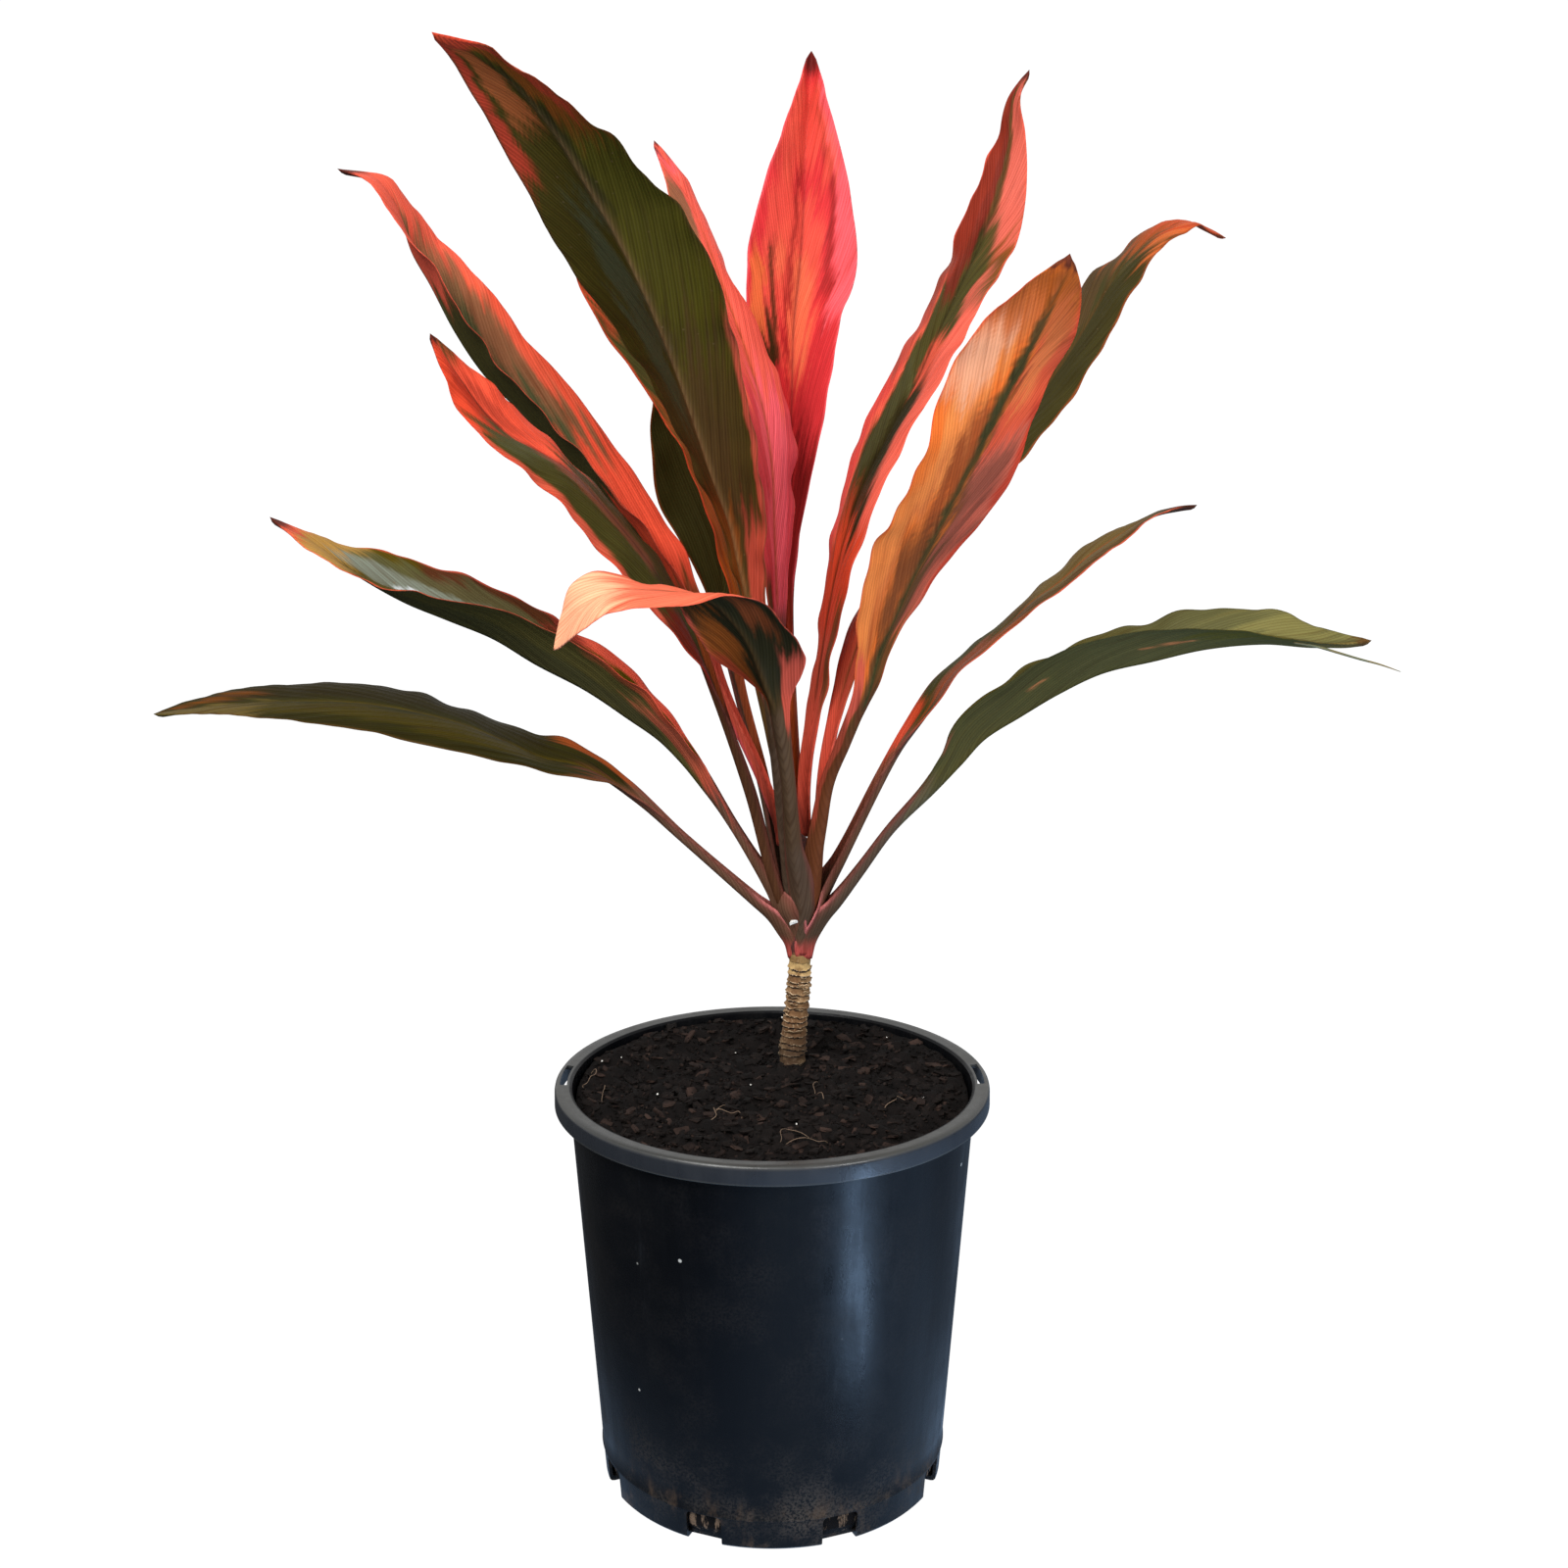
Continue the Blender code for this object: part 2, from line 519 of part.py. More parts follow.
def main():
    clear_scene()
    make_pot()
    make_soil()
    make_cane()
    for name, (first, last, route) in LEAVES.items():
        make_leaf(name, first, last, route)


main()
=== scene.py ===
"""Looks of a ti plant (Cordyline) in its black nursery pot, built around the solid model.

Lengths in this file are in metres, apart from the leaf and cane routes and the named values that
say so, which are in millimetres.
The plant stands on z = 0 with the pot's axis on x = y = 0, and -Y faces the viewer.
"""
import math

import bpy
import numpy as np
from bpy.props import FloatProperty, FloatVectorProperty, IntProperty, PointerProperty
from mathutils import Matrix, Vector


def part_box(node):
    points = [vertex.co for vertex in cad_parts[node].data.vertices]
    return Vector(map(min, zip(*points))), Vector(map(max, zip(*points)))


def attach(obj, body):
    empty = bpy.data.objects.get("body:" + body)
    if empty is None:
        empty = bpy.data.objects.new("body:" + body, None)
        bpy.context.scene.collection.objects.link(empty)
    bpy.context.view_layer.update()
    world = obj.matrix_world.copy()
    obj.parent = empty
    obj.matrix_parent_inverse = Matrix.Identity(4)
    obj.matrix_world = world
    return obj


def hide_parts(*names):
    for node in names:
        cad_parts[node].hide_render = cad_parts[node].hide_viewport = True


bl_info = {
    "name": "Ti plant in a nursery pot",
    "version": (1, 0, 0),
    "blender": (4, 5, 0),
    "location": "3D View > Sidebar > Ti plant",
    "description": "Models a potted ti plant with waved, coral-edged leaves on a ringed cane",
    "category": "Add Mesh",
}

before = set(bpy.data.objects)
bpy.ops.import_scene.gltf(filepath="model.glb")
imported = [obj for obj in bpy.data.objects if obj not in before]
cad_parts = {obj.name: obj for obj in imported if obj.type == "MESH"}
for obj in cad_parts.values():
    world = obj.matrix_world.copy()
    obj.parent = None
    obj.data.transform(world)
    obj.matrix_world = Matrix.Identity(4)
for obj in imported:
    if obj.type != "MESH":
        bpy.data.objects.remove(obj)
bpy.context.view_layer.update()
BODY = "root"
MM = 0.001

# Camera, in the photograph's frame of 1600 by 1600 pixels
CAMERA_PLACE = (0.0054, -0.987, 0.583)
CAMERA_PITCH = 14.18
CAMERA_FOCAL_PIXELS = 2331.0
PHOTO_PIXELS = 1600.0
SENSOR = 36.0

# Cane route: x, y, z, radius
CANE_ROUTE = (
    (9.5, 41.0, 176.0, 5.7), (9.5, 41.0, 189.0, 5.8), (10.0, 40.6, 200.0, 5.6),
    (11.1, 39.8, 212.0, 5.4), (12.3, 38.8, 224.0, 5.3), (12.8, 38.2, 236.0, 5.1),
    (13.0, 38.0, 241.0, 5.2), (13.0, 38.0, 246.0, 4.8))
CORE_ROUTE = (
    (12.9, 38.0, 241.0, 4.6), (13.0, 38.0, 250.0, 6.2), (12.8, 38.4, 262.0, 7.0),
    (12.4, 39.2, 276.0, 7.4), (12.0, 40.0, 288.0, 7.4), (12.0, 40.3, 296.0, 5.4),
    (12.0, 40.3, 300.0, 1.0))

# White fleck on the lowest sheaths
FLECK_PLACE = (0.0108, 0.0278, 0.2607)
FLECK_SIZE = (0.0052, 0.0012, 0.0021)

# Strand that has split off the right margin of leaf_14, written like the cane's route
STRAND_ROUTE = (
    (228.0, -4.0, 398.4, 0.5), (238.0, -3.5, 396.6, 0.6), (248.0, -2.5, 393.6, 0.55),
    (258.0, -2.0, 390.6, 0.5), (267.0, -2.0, 388.2, 0.4), (276.0, -3.0, 385.2, 0.15))

# Each leaf: the bearing it leaves the cane on, its bearing at the tip, and its route from seat
# to tip. A route point is x, y, z of the rib, then the half width, and how far the left and the
# right half are lifted from flat, as seen from the cane with the upper face on top.
LEAVES = {
    "leaf_01": (188, 188, (
        (5.0, 36.9, 250, 4.6, 22, 22), (-1, 36, 262, 4.4, 45, 45), (-42, 30, 301, 3.6, 45, 45),
        (-62, 27, 320, 6, 15, 40), (-84, 24, 335, 13, -8, 27), (-105, 21, 341, 19, -6, 24),
        (-121, 19, 349, 23, -11, 6), (-144, 16, 359, 26, -18, 5), (-182, 11, 368, 25, -16, 9),
        (-225, 5, 370, 19, -9, 11), (-257, 0, 368, 9, -2, 16), (-273, -2, 366, 1, 0, 10))),
    "leaf_02": (182, 182, (
        (4.4, 40.5, 264, 4.0, 4, 30), (-3, 41.7, 281, 4.2, 34, 40), (-18, 40, 303, 3.8, 45, 45),
        (-29, 38, 320, 6, 48, 44), (-49, 36, 344, 15, 42, 34), (-66, 35, 357, 21, 49, 44),
        (-85, 35, 370, 24, 49, 46), (-107, 34, 382, 26, 49, 45), (-126, 33, 394, 26, 41, 44),
        (-147, 32, 403, 24, 32, 50), (-166, 32, 411, 22, 22, 50), (-186, 31, 423, 18, 8, 38),
        (-203, 30, 436, 12, -6, 10), (-224, 30, 449, 1, 0, 5))),
    "leaf_03": (200, 200, (
        (6.2, 32.4, 262, 4.0, 44, -6), (-1, 30, 284, 4.2, 42, 30), (-11, 29.5, 323, 4.2, 45, 45),
        (-28, 24, 376, 6, -10, 50), (-38, 19, 401, 13, -38, 32), (-53, 14, 429, 22, -42, 20),
        (-76, 6, 460, 24, -41, 14), (-89, 1, 474, 23, -38, 16), (-102, -4, 483, 21, -33, 26),
        (-113, -8, 490, 20, -30, 40), (-122, -11, 499, 16, -34, 50),
        (-131, -14, 513, 11, -44, 48), (-142, -19, 532, 1, -40, 40))),
    "leaf_04": (165, 165, (
        (4.0, 41.2, 294, 3.8, 28, 14), (2.2, 42, 305, 4.0, 40, 34),
        (-7, 46, 328, 4.2, 50, 50), (-24, 50, 364, 5, 50, 55), (-38, 52, 397, 9, 50, 58),
        (-49, 55, 417, 14, 46, 54), (-62, 58, 436, 18, 36, 38), (-80, 63, 457, 23, 31, 34),
        (-98, 68, 475, 25, 33, 42), (-116, 73, 493, 26, 33, 53), (-132, 77, 509, 25, 37, 58),
        (-145, 80, 528, 25, 36, 56), (-156, 83, 549, 21, 34, 44), (-164, 85, 563, 19, 28, 27),
        (-170, 87, 581, 14, 4, 12), (-180, 90, 595, 9, -5, 9), (-199, 95, 600, 1, 0, 5))),
    "leaf_05": (242, 242, (
        (8.0, 31.2, 272, 4.2, 20, 24), (6, 24, 294, 4.2, 40, 40), (2, 15, 338, 4.4, 45, 45),
        (-2, 8, 376, 4.6, 40, 40), (-7, 1, 404, 6, 8, 40), (-13, -10, 432, 12, -4, 40),
        (-17, -19, 452, 18, -5, 37), (-24, -32, 474, 23, 0, 35), (-31, -45, 498, 26, 4, 30),
        (-38, -58, 521, 27, 14, 19), (-47, -76, 547, 29, 22, 6), (-58, -95, 573, 28, 22, -6),
        (-67, -113, 591, 24, 10, -14), (-76, -129, 608, 22, 0, -19),
        (-85, -146, 621, 18, -10, -22), (-93, -161, 629, 14, -12, -20),
        (-101, -176, 635, 9, 0, -12), (-111, -195, 639, 1, 0, -8))),
    "leaf_06": (115, 115, (
        (8.7, 47.5, 294, 3.6, 22, 22), (6, 50.5, 307, 3.8, 30, 24), (3, 52, 322, 4.0, 36, 24),
        (1, 53, 349, 4.2, 40, 10), (3, 54, 386, 5, 36, -25), (2, 55, 413, 10, 38, -34),
        (1, 59, 439, 17, 37, -36),
        (0, 64, 466, 21, 37, -35), (-4, 71, 492, 22, 36, -30), (-12, 82, 518, 22, 34, -34),
        (-20, 95, 539, 21, 32, -34), (-28, 110, 560, 18, 24, -46), (-37, 126, 581, 14, 18, -42),
        (-47, 140, 599, 8, 24, -30), (-57, 152, 614, 1, 20, -20))),
    "leaf_07": (205, 200, (
        (6.1, 33.0, 287, 3.8, 48, 0), (5, 31.5, 316, 4.0, 40, 40), (-1, 31.5, 349, 4.0, 30, 40),
        (-7, 31, 377, 5, -20, 38), (-13, 28, 408, 13, -36, 36), (-19, 26, 435, 19, -35, 36),
        (-26, 24, 462, 21, -35, 36), (-32, 21, 483, 22, -38, 38), (-45, 17, 509, 21, -41, 44),
        (-58, 12, 532, 19, -50, 50), (-69, 8, 553, 17, -62, 50), (-78, 5, 571, 12, -62, 46),
        (-88, 1, 589, 1, -50, 40))),
    "leaf_08": (140, 140, (
        (7.0, 45.5, 270, 4.0, 12, 28), (2, 50.5, 286, 4.0, 36, 42), (-5, 55, 320, 4.2, 45, 45),
        (-17, 65, 366, 4.2, 20, 45), (-22, 74, 397, 6, -20, 25), (-24, 79, 417, 13, -20, 16),
        (-27, 84, 438, 21, -26, 2), (-30, 86, 454, 26, -26, -6), (-35, 88, 476, 26, -15, -5),
        (-41, 91, 500, 25, 5, -3), (-49, 96, 522, 23, 8, -2), (-58, 103, 544, 18, 0, 0),
        (-68, 111, 562, 11, -12, 5), (-76, 118, 577, 1, -10, 5))),
    "leaf_09": (88, 88, (
        (12.6, 48.0, 276, 4.0, 22, 22), (12.0, 55, 294, 4.0, 35, 35), (8, 75, 363, 4.2, 50, 50),
        (7, 90, 398, 6, 60, 66), (7, 101, 424, 13, 60, 64), (7, 112, 451, 21, 57, 57),
        (9, 126, 487, 27, 48, 50), (10, 142, 526, 28, 39, 34), (13, 155, 555, 29, 32, 14),
        (15, 168, 585, 24, 34, 12), (16, 180, 612, 18, 50, 24), (18, 191, 637, 10, 58, 40),
        (19, 199, 658, 1, 50, 40))),
    "leaf_10": (55, 55, (
        (15.8, 46.3, 296.4, 3.6, 26, 20), (15.6, 49.5, 320, 4.2, 20, 40), (18, 52, 347, 6, -20, 30),
        (22, 55, 376, 12, -44, 34), (27, 61, 407, 17, -45, 35), (34, 69, 436, 20, -38, 31),
        (42, 79, 457, 21, -32, 28), (54, 93, 479, 22, -18, 28), (67, 110, 500, 22, -13, 25),
        (78, 126, 522, 21, -18, 18), (91, 143, 547, 19, -20, 6), (102, 159, 567, 18, -10, -10),
        (111, 173, 590, 14, 4, -14), (117, 183, 616, 9, -8, 6), (119, 189, 635, 5, -14, 30),
        (127, 197, 649, 1, -10, 20))),
    "leaf_11": (305, 305, (
        (18.0, 31.9, 264, 4.2, 24, 20), (20.5, 27, 284, 4.4, 40, 40), (26, 19, 329, 4.6, 45, 45),
        (33, 9, 350, 4.8, 35, 30), (41, -2, 375, 7, 14, 2), (46, -9, 394, 12, 20, -2),
        (53, -20, 414, 20, 20, 0), (61, -31, 436, 25, 13, 5), (70, -43, 457, 27, 3, 3),
        (79, -56, 480, 26, -5, -2), (88, -69, 501, 25, 6, 16), (96, -80, 521, 24, 5, 32),
        (103, -90, 538, 18, -10, 34), (109, -99, 553, 11, -14, 32), (113, -105, 566, 1, -10, 20))),
    "leaf_12": (35, 35, (
        (21.3, 41.2, 282, 3.8, -4, 42), (22.2, 40.6, 299, 4.0, 16, 40),
        (24.5, 42, 325, 4.4, 30, 40),
        (29, 45, 352, 6, 5, 22), (36, 50, 377, 10, -2, 14), (47, 58, 403, 17, -14, 19),
        (65, 71, 426, 22, -16, 13), (86, 87, 452, 24, -9, 6), (108, 103, 475, 25, 0, 2),
        (130, 118, 499, 24, 3, 3), (147, 130, 522, 22, -1, 5), (165, 143, 550, 19, -3, 2),
        (176, 150, 562, 16, -10, 1), (188, 157, 571, 13, -4, -5), (203, 166, 576, 9, 6, -14),
        (214, 172, 573, 6, 12, -24), (225, 179, 568, 1, 10, -20))),
    "leaf_13": (15, 15, (
        (21.0, 39.6, 261, 4.2, 16, 26), (27, 41.5, 274, 4.4, 45, 45), (50, 48, 322, 4.2, 45, 45),
        (60, 51, 340, 5, 30, 20), (72, 54, 355, 10, 18, 14), (83, 57, 371, 16, -4, 15),
        (97, 60, 383, 19, -9, 17), (111, 64, 395, 20, -13, 14), (122, 67, 405, 20, -14, 11),
        (134, 70, 413, 19, -8, 10), (147, 74, 424, 18, -4, 8), (161, 78, 433, 15, -4, 8),
        (177, 82, 442, 11, -12, 13), (190, 85, 446, 6, -8, 14), (200, 88, 447, 1, 0, 10))),
    "leaf_14": (-8, -8, (
        (21.0, 36.9, 250, 4.6, 22, 22), (27, 36, 262, 4.4, 45, 45), (55, 32, 304, 3.6, 50, 50),
        (73, 30, 323, 6, 58, 56), (85, 28, 336, 11, 56, 62), (96, 26, 349, 17, 54, 62),
        (112, 24, 360, 21, 42, 54), (129, 22, 371, 24, 36, 51), (148, 19, 381, 25, 30, 46),
        (170, 16, 387, 24, 36, 44), (193, 13, 393, 22, 42, 34), (218, 9, 396, 18, 46, 22),
        (241, 6, 395, 11, 48, 18), (264, 3, 398, 1, 30, 10))),
    "leaf_15": (262, 188, (
        (12.0, 30.0, 252, 4.4, 22, 22), (10.4, 20, 281, 4.4, 40, 40), (7, 1, 333, 4.2, 45, 45),
        (4.2, -7, 356, 5, 40, 46), (1.5, -12, 370, 7.5, 32, 56), (-2, -16, 380, 15, 20, 34),
        (-5, -21, 390, 20.5, 20, 6), (-8, -28, 400, 21, 18, -12), (-12, -36, 409, 20.5, 24, -24),
        (-17.5, -44, 417.5, 20, 27, -30), (-23, -51, 424, 19.5, 23, -22),
        (-29.5, -57, 428, 19, 14, -9), (-39, -63, 430.5, 18.5, -3, -3),
        (-50, -67, 432, 17.5, -17, 0), (-60, -69, 432.5, 16.5, -19, 13),
        (-69, -70, 430, 15, -19, 34), (-78, -70, 423, 11, -26, 44), (-89, -68, 407, 1, -18, 30))),
}
TURN_FROM = 0.40
TURN_TO = 0.85
AIM_STEP = 0.002

# How each lower stalk clasps the cane: rows like a route's, lowest first, that take the place
# of the first two rows of its route
SHEATHS = {
    "leaf_01": (
        (9.2, 38.4, 240, 6.5, 56, 56), (7.4, 37.8, 247, 8.6, 54, 54), (4.4, 37.3, 252, 8.6, 50, 50),
        (-0.8, 36.6, 260, 7.2, 46, 46), (-8.5, 35.2, 268, 5.4, 45, 45)),
    "leaf_02": (
        (9.6, 38, 243, 6.5, 56, 56), (8, 37.2, 250, 9, 56, 56), (5.5, 35.8, 258, 13, 52, 56),
        (2.5, 35, 264, 15, 48, 50), (-1, 36.5, 272.5, 9, 42, 42), (-7, 38.5, 284, 5.6, 44, 44)),
    "leaf_11": (
        (18, 31.9, 264, 5.5, 30, 30), (20.3, 25.5, 290, 6.4, 34, 34),
        (22.5, 22.5, 307, 5.6, 36, 36)),
    "leaf_13": (
        (16.6, 38.6, 242, 6.5, 56, 56), (18, 38.4, 250, 8, 56, 52), (20, 38.8, 257, 10.5, 56, 34),
        (22.5, 39.8, 264, 11.5, 50, 28), (26, 41.2, 272, 9.5, 45, 38),
        (33, 43.2, 287, 5.6, 45, 45)),
    "leaf_14": (
        (16.7, 37.5, 240, 6.5, 56, 56), (18.4, 37.3, 247, 9.3, 54, 54),
        (20.6, 37, 252, 9.8, 50, 48),
        (25.3, 36.3, 260, 9.1, 48, 46), (30.5, 35.6, 267, 6.9, 46, 46),
        (41, 34.1, 283, 4.8, 46, 46)),
    "leaf_15": (
        (13, 35.5, 242, 4.6, 52, 52), (13, 33.5, 249, 6.4, 50, 50),
        (13.2, 31, 256, 8, 50, 50), (13.2, 26, 268, 8, 45, 45),
        (11.6, 20, 284, 7.6, 40, 40), (9.4, 13.7, 300, 5.2, 42, 42)),
}
SHEATHED_ROWS = 2

# Leaf paint. First the ground colour, the stalk colour, the margin line's colour and the rib's.
# Then the washes: colour, from and to along the leaf (0 seat, 1 tip), from and to across it
# (-1 right margin, 0 rib, 1 left margin), strength, softness.
PAINT = {
    "leaf_01": ("deep_olive", "stalk", "brown", "olive", (
        ("rose_brown", 0.27, 0.40, -0.2, 1.0, 0.5, 1.0),
        ("rust", 0.31, 0.44, -1.1, -0.60, 0.7, 0.7),
        ("shade", 0.36, 0.54, -0.5, 0.05, 0.5, 0.8), ("olive", 0.46, 0.90, 0.1, 0.7, 0.4, 1.2),
        ("shade", 0.44, 0.92, 0.84, 1.1, 0.6, 0.8), ("shade", 0.46, 0.88, -1.1, -0.20, 1.0, 1.0),
        ("tan", 0.86, 1.0, -0.1, 1.1, 0.6, 1.4), ("ochre", 0.86, 0.96, -0.7, -0.3, 0.25, 1.6)),
        (), ()),
    "leaf_02": ("olive", "stalk", "coral", "moss", (
        ("coral", 0.22, 0.38, 0.3, 1.1, 0.8, 1.3), ("scarlet", 0.34, 0.50, 0.80, 1.1, 0.9, 0.5),
        ("olive", 0.42, 0.72, 0.4, 0.95, 0.6, 1.1), ("shade", 0.32, 0.80, 0.0, 0.35, 0.7, 0.9),
        ("straw", 0.86, 0.95, -1.1, 1.1, 0.85, 0.8), ("coral", 0.94, 1.0, -1.1, 1.1, 0.8, 0.6),
        ("maroon", 0.975, 1.1, -1.1, 1.1, 0.9, 0.4)),
        (("coral", 0.30, 0.56, -1.1, -0.75, 0.95, 0.5),
         ("maroon", 0.50, 0.76, -1.1, -0.55, 0.75, 0.8),
         # Painted sheen on the upper face: the dull green and the bluish washes on the next two
         # lines.
         ("sage", 0.58, 0.87, -0.80, -0.10, 0.7, 0.9),
         ("steel", 0.62, 0.88, -0.55, -0.15, 0.6, 0.8),
         # Painted highlight: the two tiny near-white washes on the next two lines are glints.
         ("chalk", 0.750, 0.772, -0.34, -0.28, 1.0, 0.15),
         ("chalk", 0.776, 0.790, -0.27, -0.19, 1.0, 0.15)),
        (("sage", 0.25, 0.85, -1.1, 1.1, 0.35, 1.0),)),
    "leaf_03": ("moss", "brown", "scarlet", "maroon", (
        ("maroon", 0.0, 0.40, -1.1, 1.1, 0.5, 1.2), ("blood", 0.37, 0.50, 0.1, 1.1, 0.8, 0.8),
        ("rust", 0.32, 0.44, -1.1, -0.45, 0.7, 0.9),
        ("rose_brown", 0.54, 0.80, -0.25, 0.2, 0.75, 0.9),
        ("brown", 0.46, 0.74, -1.1, -0.25, 0.5, 1.2), ("flame", 0.74, 0.96, -1.1, 0.02, 1.0, 1.0),
        ("sage", 0.78, 0.88, 0.05, 0.7, 0.4, 0.9), ("scarlet", 0.87, 1.0, 0.0, 1.1, 0.95, 0.9),
        ("coral", 0.50, 0.88, 0.86, 1.1, 0.7, 0.5), ("maroon", 0.84, 0.95, -0.08, 0.02, 0.7, 0.3),
        ("maroon", 0.80, 0.93, -0.42, -0.14, 0.4, 0.9), ("blood", 0.86, 0.97, 0.1, 0.6, 0.35, 1.2),
        ("maroon", 0.985, 1.1, -1.1, 1.1, 0.9, 0.2)), (), ()),
    "leaf_04": ("moss", "coral", "coral", "moss", (
        ("maroon", 0.0, 0.07, -1.1, 1.1, 0.8, 0.8), ("coral", 0.03, 0.30, -1.1, 1.1, 0.7, 1.0),
        ("flame", 0.33, 0.56, -1.1, -0.1, 1.0, 0.9), ("flame", 0.50, 0.86, -1.1, -0.68, 0.9, 0.7),
        ("coral", 0.79, 1.0, -1.1, 1.1, 0.95, 0.9), ("scarlet", 0.33, 0.47, 0.3, 1.1, 0.85, 0.7),
        ("sage", 0.54, 0.86, -0.75, -0.05, 0.85, 1.2),
        ("salmon", 0.56, 0.84, -0.95, -0.40, 0.24, 1.4),
        ("pink", 0.04, 0.27, -0.35, 0.35, 0.75, 0.8),
        ("maroon", 0.975, 1.1, -1.1, 1.1, 0.9, 0.4)),
        (), ()),
    "leaf_05": ("olive", "dusk", "brown", "twine", (
        ("brown", 0.22, 0.56, -1.1, 0.5, 0.6, 1.4), ("ochre", 0.28, 0.42, -0.9, 0.1, 0.55, 1.0),
        ("coral", 0.27, 0.41, 0.3, 1.1, 0.85, 1.1), ("coral", 0.38, 0.62, 0.90, 1.2, 0.85, 0.4),
        ("brown", 0.40, 0.60, 0.1, 0.85, 0.5, 1.2),
        ("gold_olive", 0.60, 0.95, 0.05, 0.95, 0.85, 1.4),
        # Painted sheen: the first wash on the next line is a dull green band right of the rib,
        # where light catches the leaf.
        ("sage", 0.52, 0.75, -0.60, -0.12, 0.80, 1.3), ("ochre", 0.84, 1.0, 0.2, 1.1, 0.8, 1.1),
        ("scarlet", 0.86, 1.0, 0.55, 1.1, 0.8, 0.8), ("scarlet", 0.78, 1.0, -1.1, -0.74, 0.9, 0.9),
        ("orange", 0.85, 1.0, -0.6, -0.1, 0.75, 0.8), ("shade", 0.74, 0.92, -0.05, 0.15, 0.6, 0.5),
        ("scarlet", 0.96, 1.1, -1.1, 1.1, 0.85, 0.4)), (), ()),
    "leaf_06": ("pink", "dusk", "coral", "rust", (
        ("crimson", 0.30, 0.62, 0.3, 1.1, 0.65, 1.0), ("coral", 0.60, 1.0, -1.1, 1.1, 0.85, 1.4),
        ("crimson", 0.36, 0.60, -1.1, -0.6, 0.5, 0.8), ("moss", 0.24, 0.35, 0.5, 1.1, 0.85, 0.7),
        ("sage", 0.78, 0.92, 0.2, 1.1, 0.75, 0.7), ("maroon", 0.985, 1.1, -1.1, 1.1, 0.9, 0.4)),
        (), ()),
    "leaf_07": ("moss", "brown", "scarlet", "maroon", (
        ("ochre", 0.28, 0.56, -1.1, -0.15, 0.85, 1.8), ("rust", 0.34, 0.72, 0.45, 1.1, 0.75, 1.8),
        ("ochre", 0.26, 0.42, 0.0, 1.1, 0.7, 1.8), ("olive", 0.50, 0.92, -0.6, 0.5, 0.6, 1.8),
        ("scarlet", 0.88, 1.0, -1.1, 1.1, 0.85, 1.8),
        ("maroon", 0.98, 1.1, -1.1, 1.1, 0.9, 0.3)), (), ()),
    "leaf_08": ("moss", "dusk", "rust", "moss", (
        ("rust", 0.14, 0.36, -1.1, 0.0, 0.7, 1.0), ("shade", 0.40, 0.86, -1.1, 1.1, 0.5, 1.2),
        ("rust", 0.90, 1.0, -1.1, 1.1, 0.8, 1.2)), (), ()),
    "leaf_09": ("crimson", "rust", "pink", "blood", (
        ("blood", 0.26, 0.50, -1.1, 1.1, 0.75, 1.3), ("coral", 0.58, 0.80, -0.4, 0.15, 0.6, 1.0),
        ("peach", 0.60, 0.72, -0.3, 0.1, 0.35, 0.8), ("coral", 0.66, 0.80, 0.15, 0.5, 0.5, 0.9),
        ("peach", 0.70, 0.75, 0.3, 0.45, 0.4, 0.5), ("pink", 0.64, 0.94, -1.1, -0.66, 0.8, 0.7),
        ("blood", 0.60, 0.90, 0.10, 0.24, 0.6, 0.9),
        ("blood", 0.66, 0.92, -0.66, -0.50, 0.6, 0.9), ("coral", 0.62, 0.92, 0.3, 0.8, 0.5, 1.2),
        ("shade", 0.50, 0.64, 0.36, 0.68, 0.95, 0.7),
        ("shade", 0.60, 0.73, 0.46, 0.60, 0.85, 0.7), ("orange", 0.58, 0.72, 0.68, 0.9, 0.7, 0.5),
        ("coral", 0.86, 0.96, -0.8, 1.1, 0.5, 1.0), ("maroon", 0.975, 1.1, -1.1, 1.1, 0.85, 0.4)),
        (), ()),
    "leaf_10": ("moss", "coral", "coral", "shade", (
        ("maroon", 0.0, 0.05, -1.1, 1.1, 0.85, 0.6), ("coral", 0.04, 0.26, -1.1, 1.1, 0.9, 1.0),
        ("scarlet", 0.22, 0.38, -1.1, 1.1, 0.85, 1.2), ("moss", 0.14, 0.27, -1.1, -0.6, 0.75, 0.7),
        # Painted sheen: the second wash on the next line is a dull green streak left of the rib.
        ("shade", 0.35, 0.60, -0.62, 0.05, 0.85, 0.7), ("sage", 0.42, 0.58, 0.1, 0.42, 0.5, 0.8),
        ("coral", 0.32, 0.80, 0.5, 1.1, 0.95, 0.8), ("coral", 0.36, 0.66, -1.1, -0.6, 0.9, 0.6),
        ("coral", 0.54, 0.62, -1.1, 0.05, 0.8, 0.5), ("rust", 0.72, 1.0, -1.1, -0.56, 0.55, 0.8),
        ("crimson", 0.30, 0.78, 0.62, 1.1, 0.6, 0.9), ("rose", 0.36, 0.70, -1.1, -0.50, 0.6, 0.9),
        ("rose", 0.76, 0.98, -1.1, 1.1, 0.9, 1.0), ("moss", 0.66, 0.79, -0.4, 0.5, 0.9, 0.8),
        ("shade", 0.74, 0.91, 0.02, 0.22, 0.85, 0.5), ("brown", 0.80, 0.96, -0.05, 0.42, 0.85, 0.5),
        ("rust", 0.72, 0.97, 0.40, 1.1, 0.85, 0.8), ("blood", 0.68, 0.97, 0.10, 1.1, 0.75, 0.9),
        ("shade", 0.34, 0.56, -0.5, 0.5, 0.45, 1.1), ("brown", 0.80, 0.97, -0.14, 0.14, 0.8, 0.6),
        ("rose_brown", 0.58, 0.74, 0.58, 1.1, 0.5, 0.8),
        ("maroon", 0.975, 1.1, -1.1, 1.1, 0.9, 0.3)), (), ()),
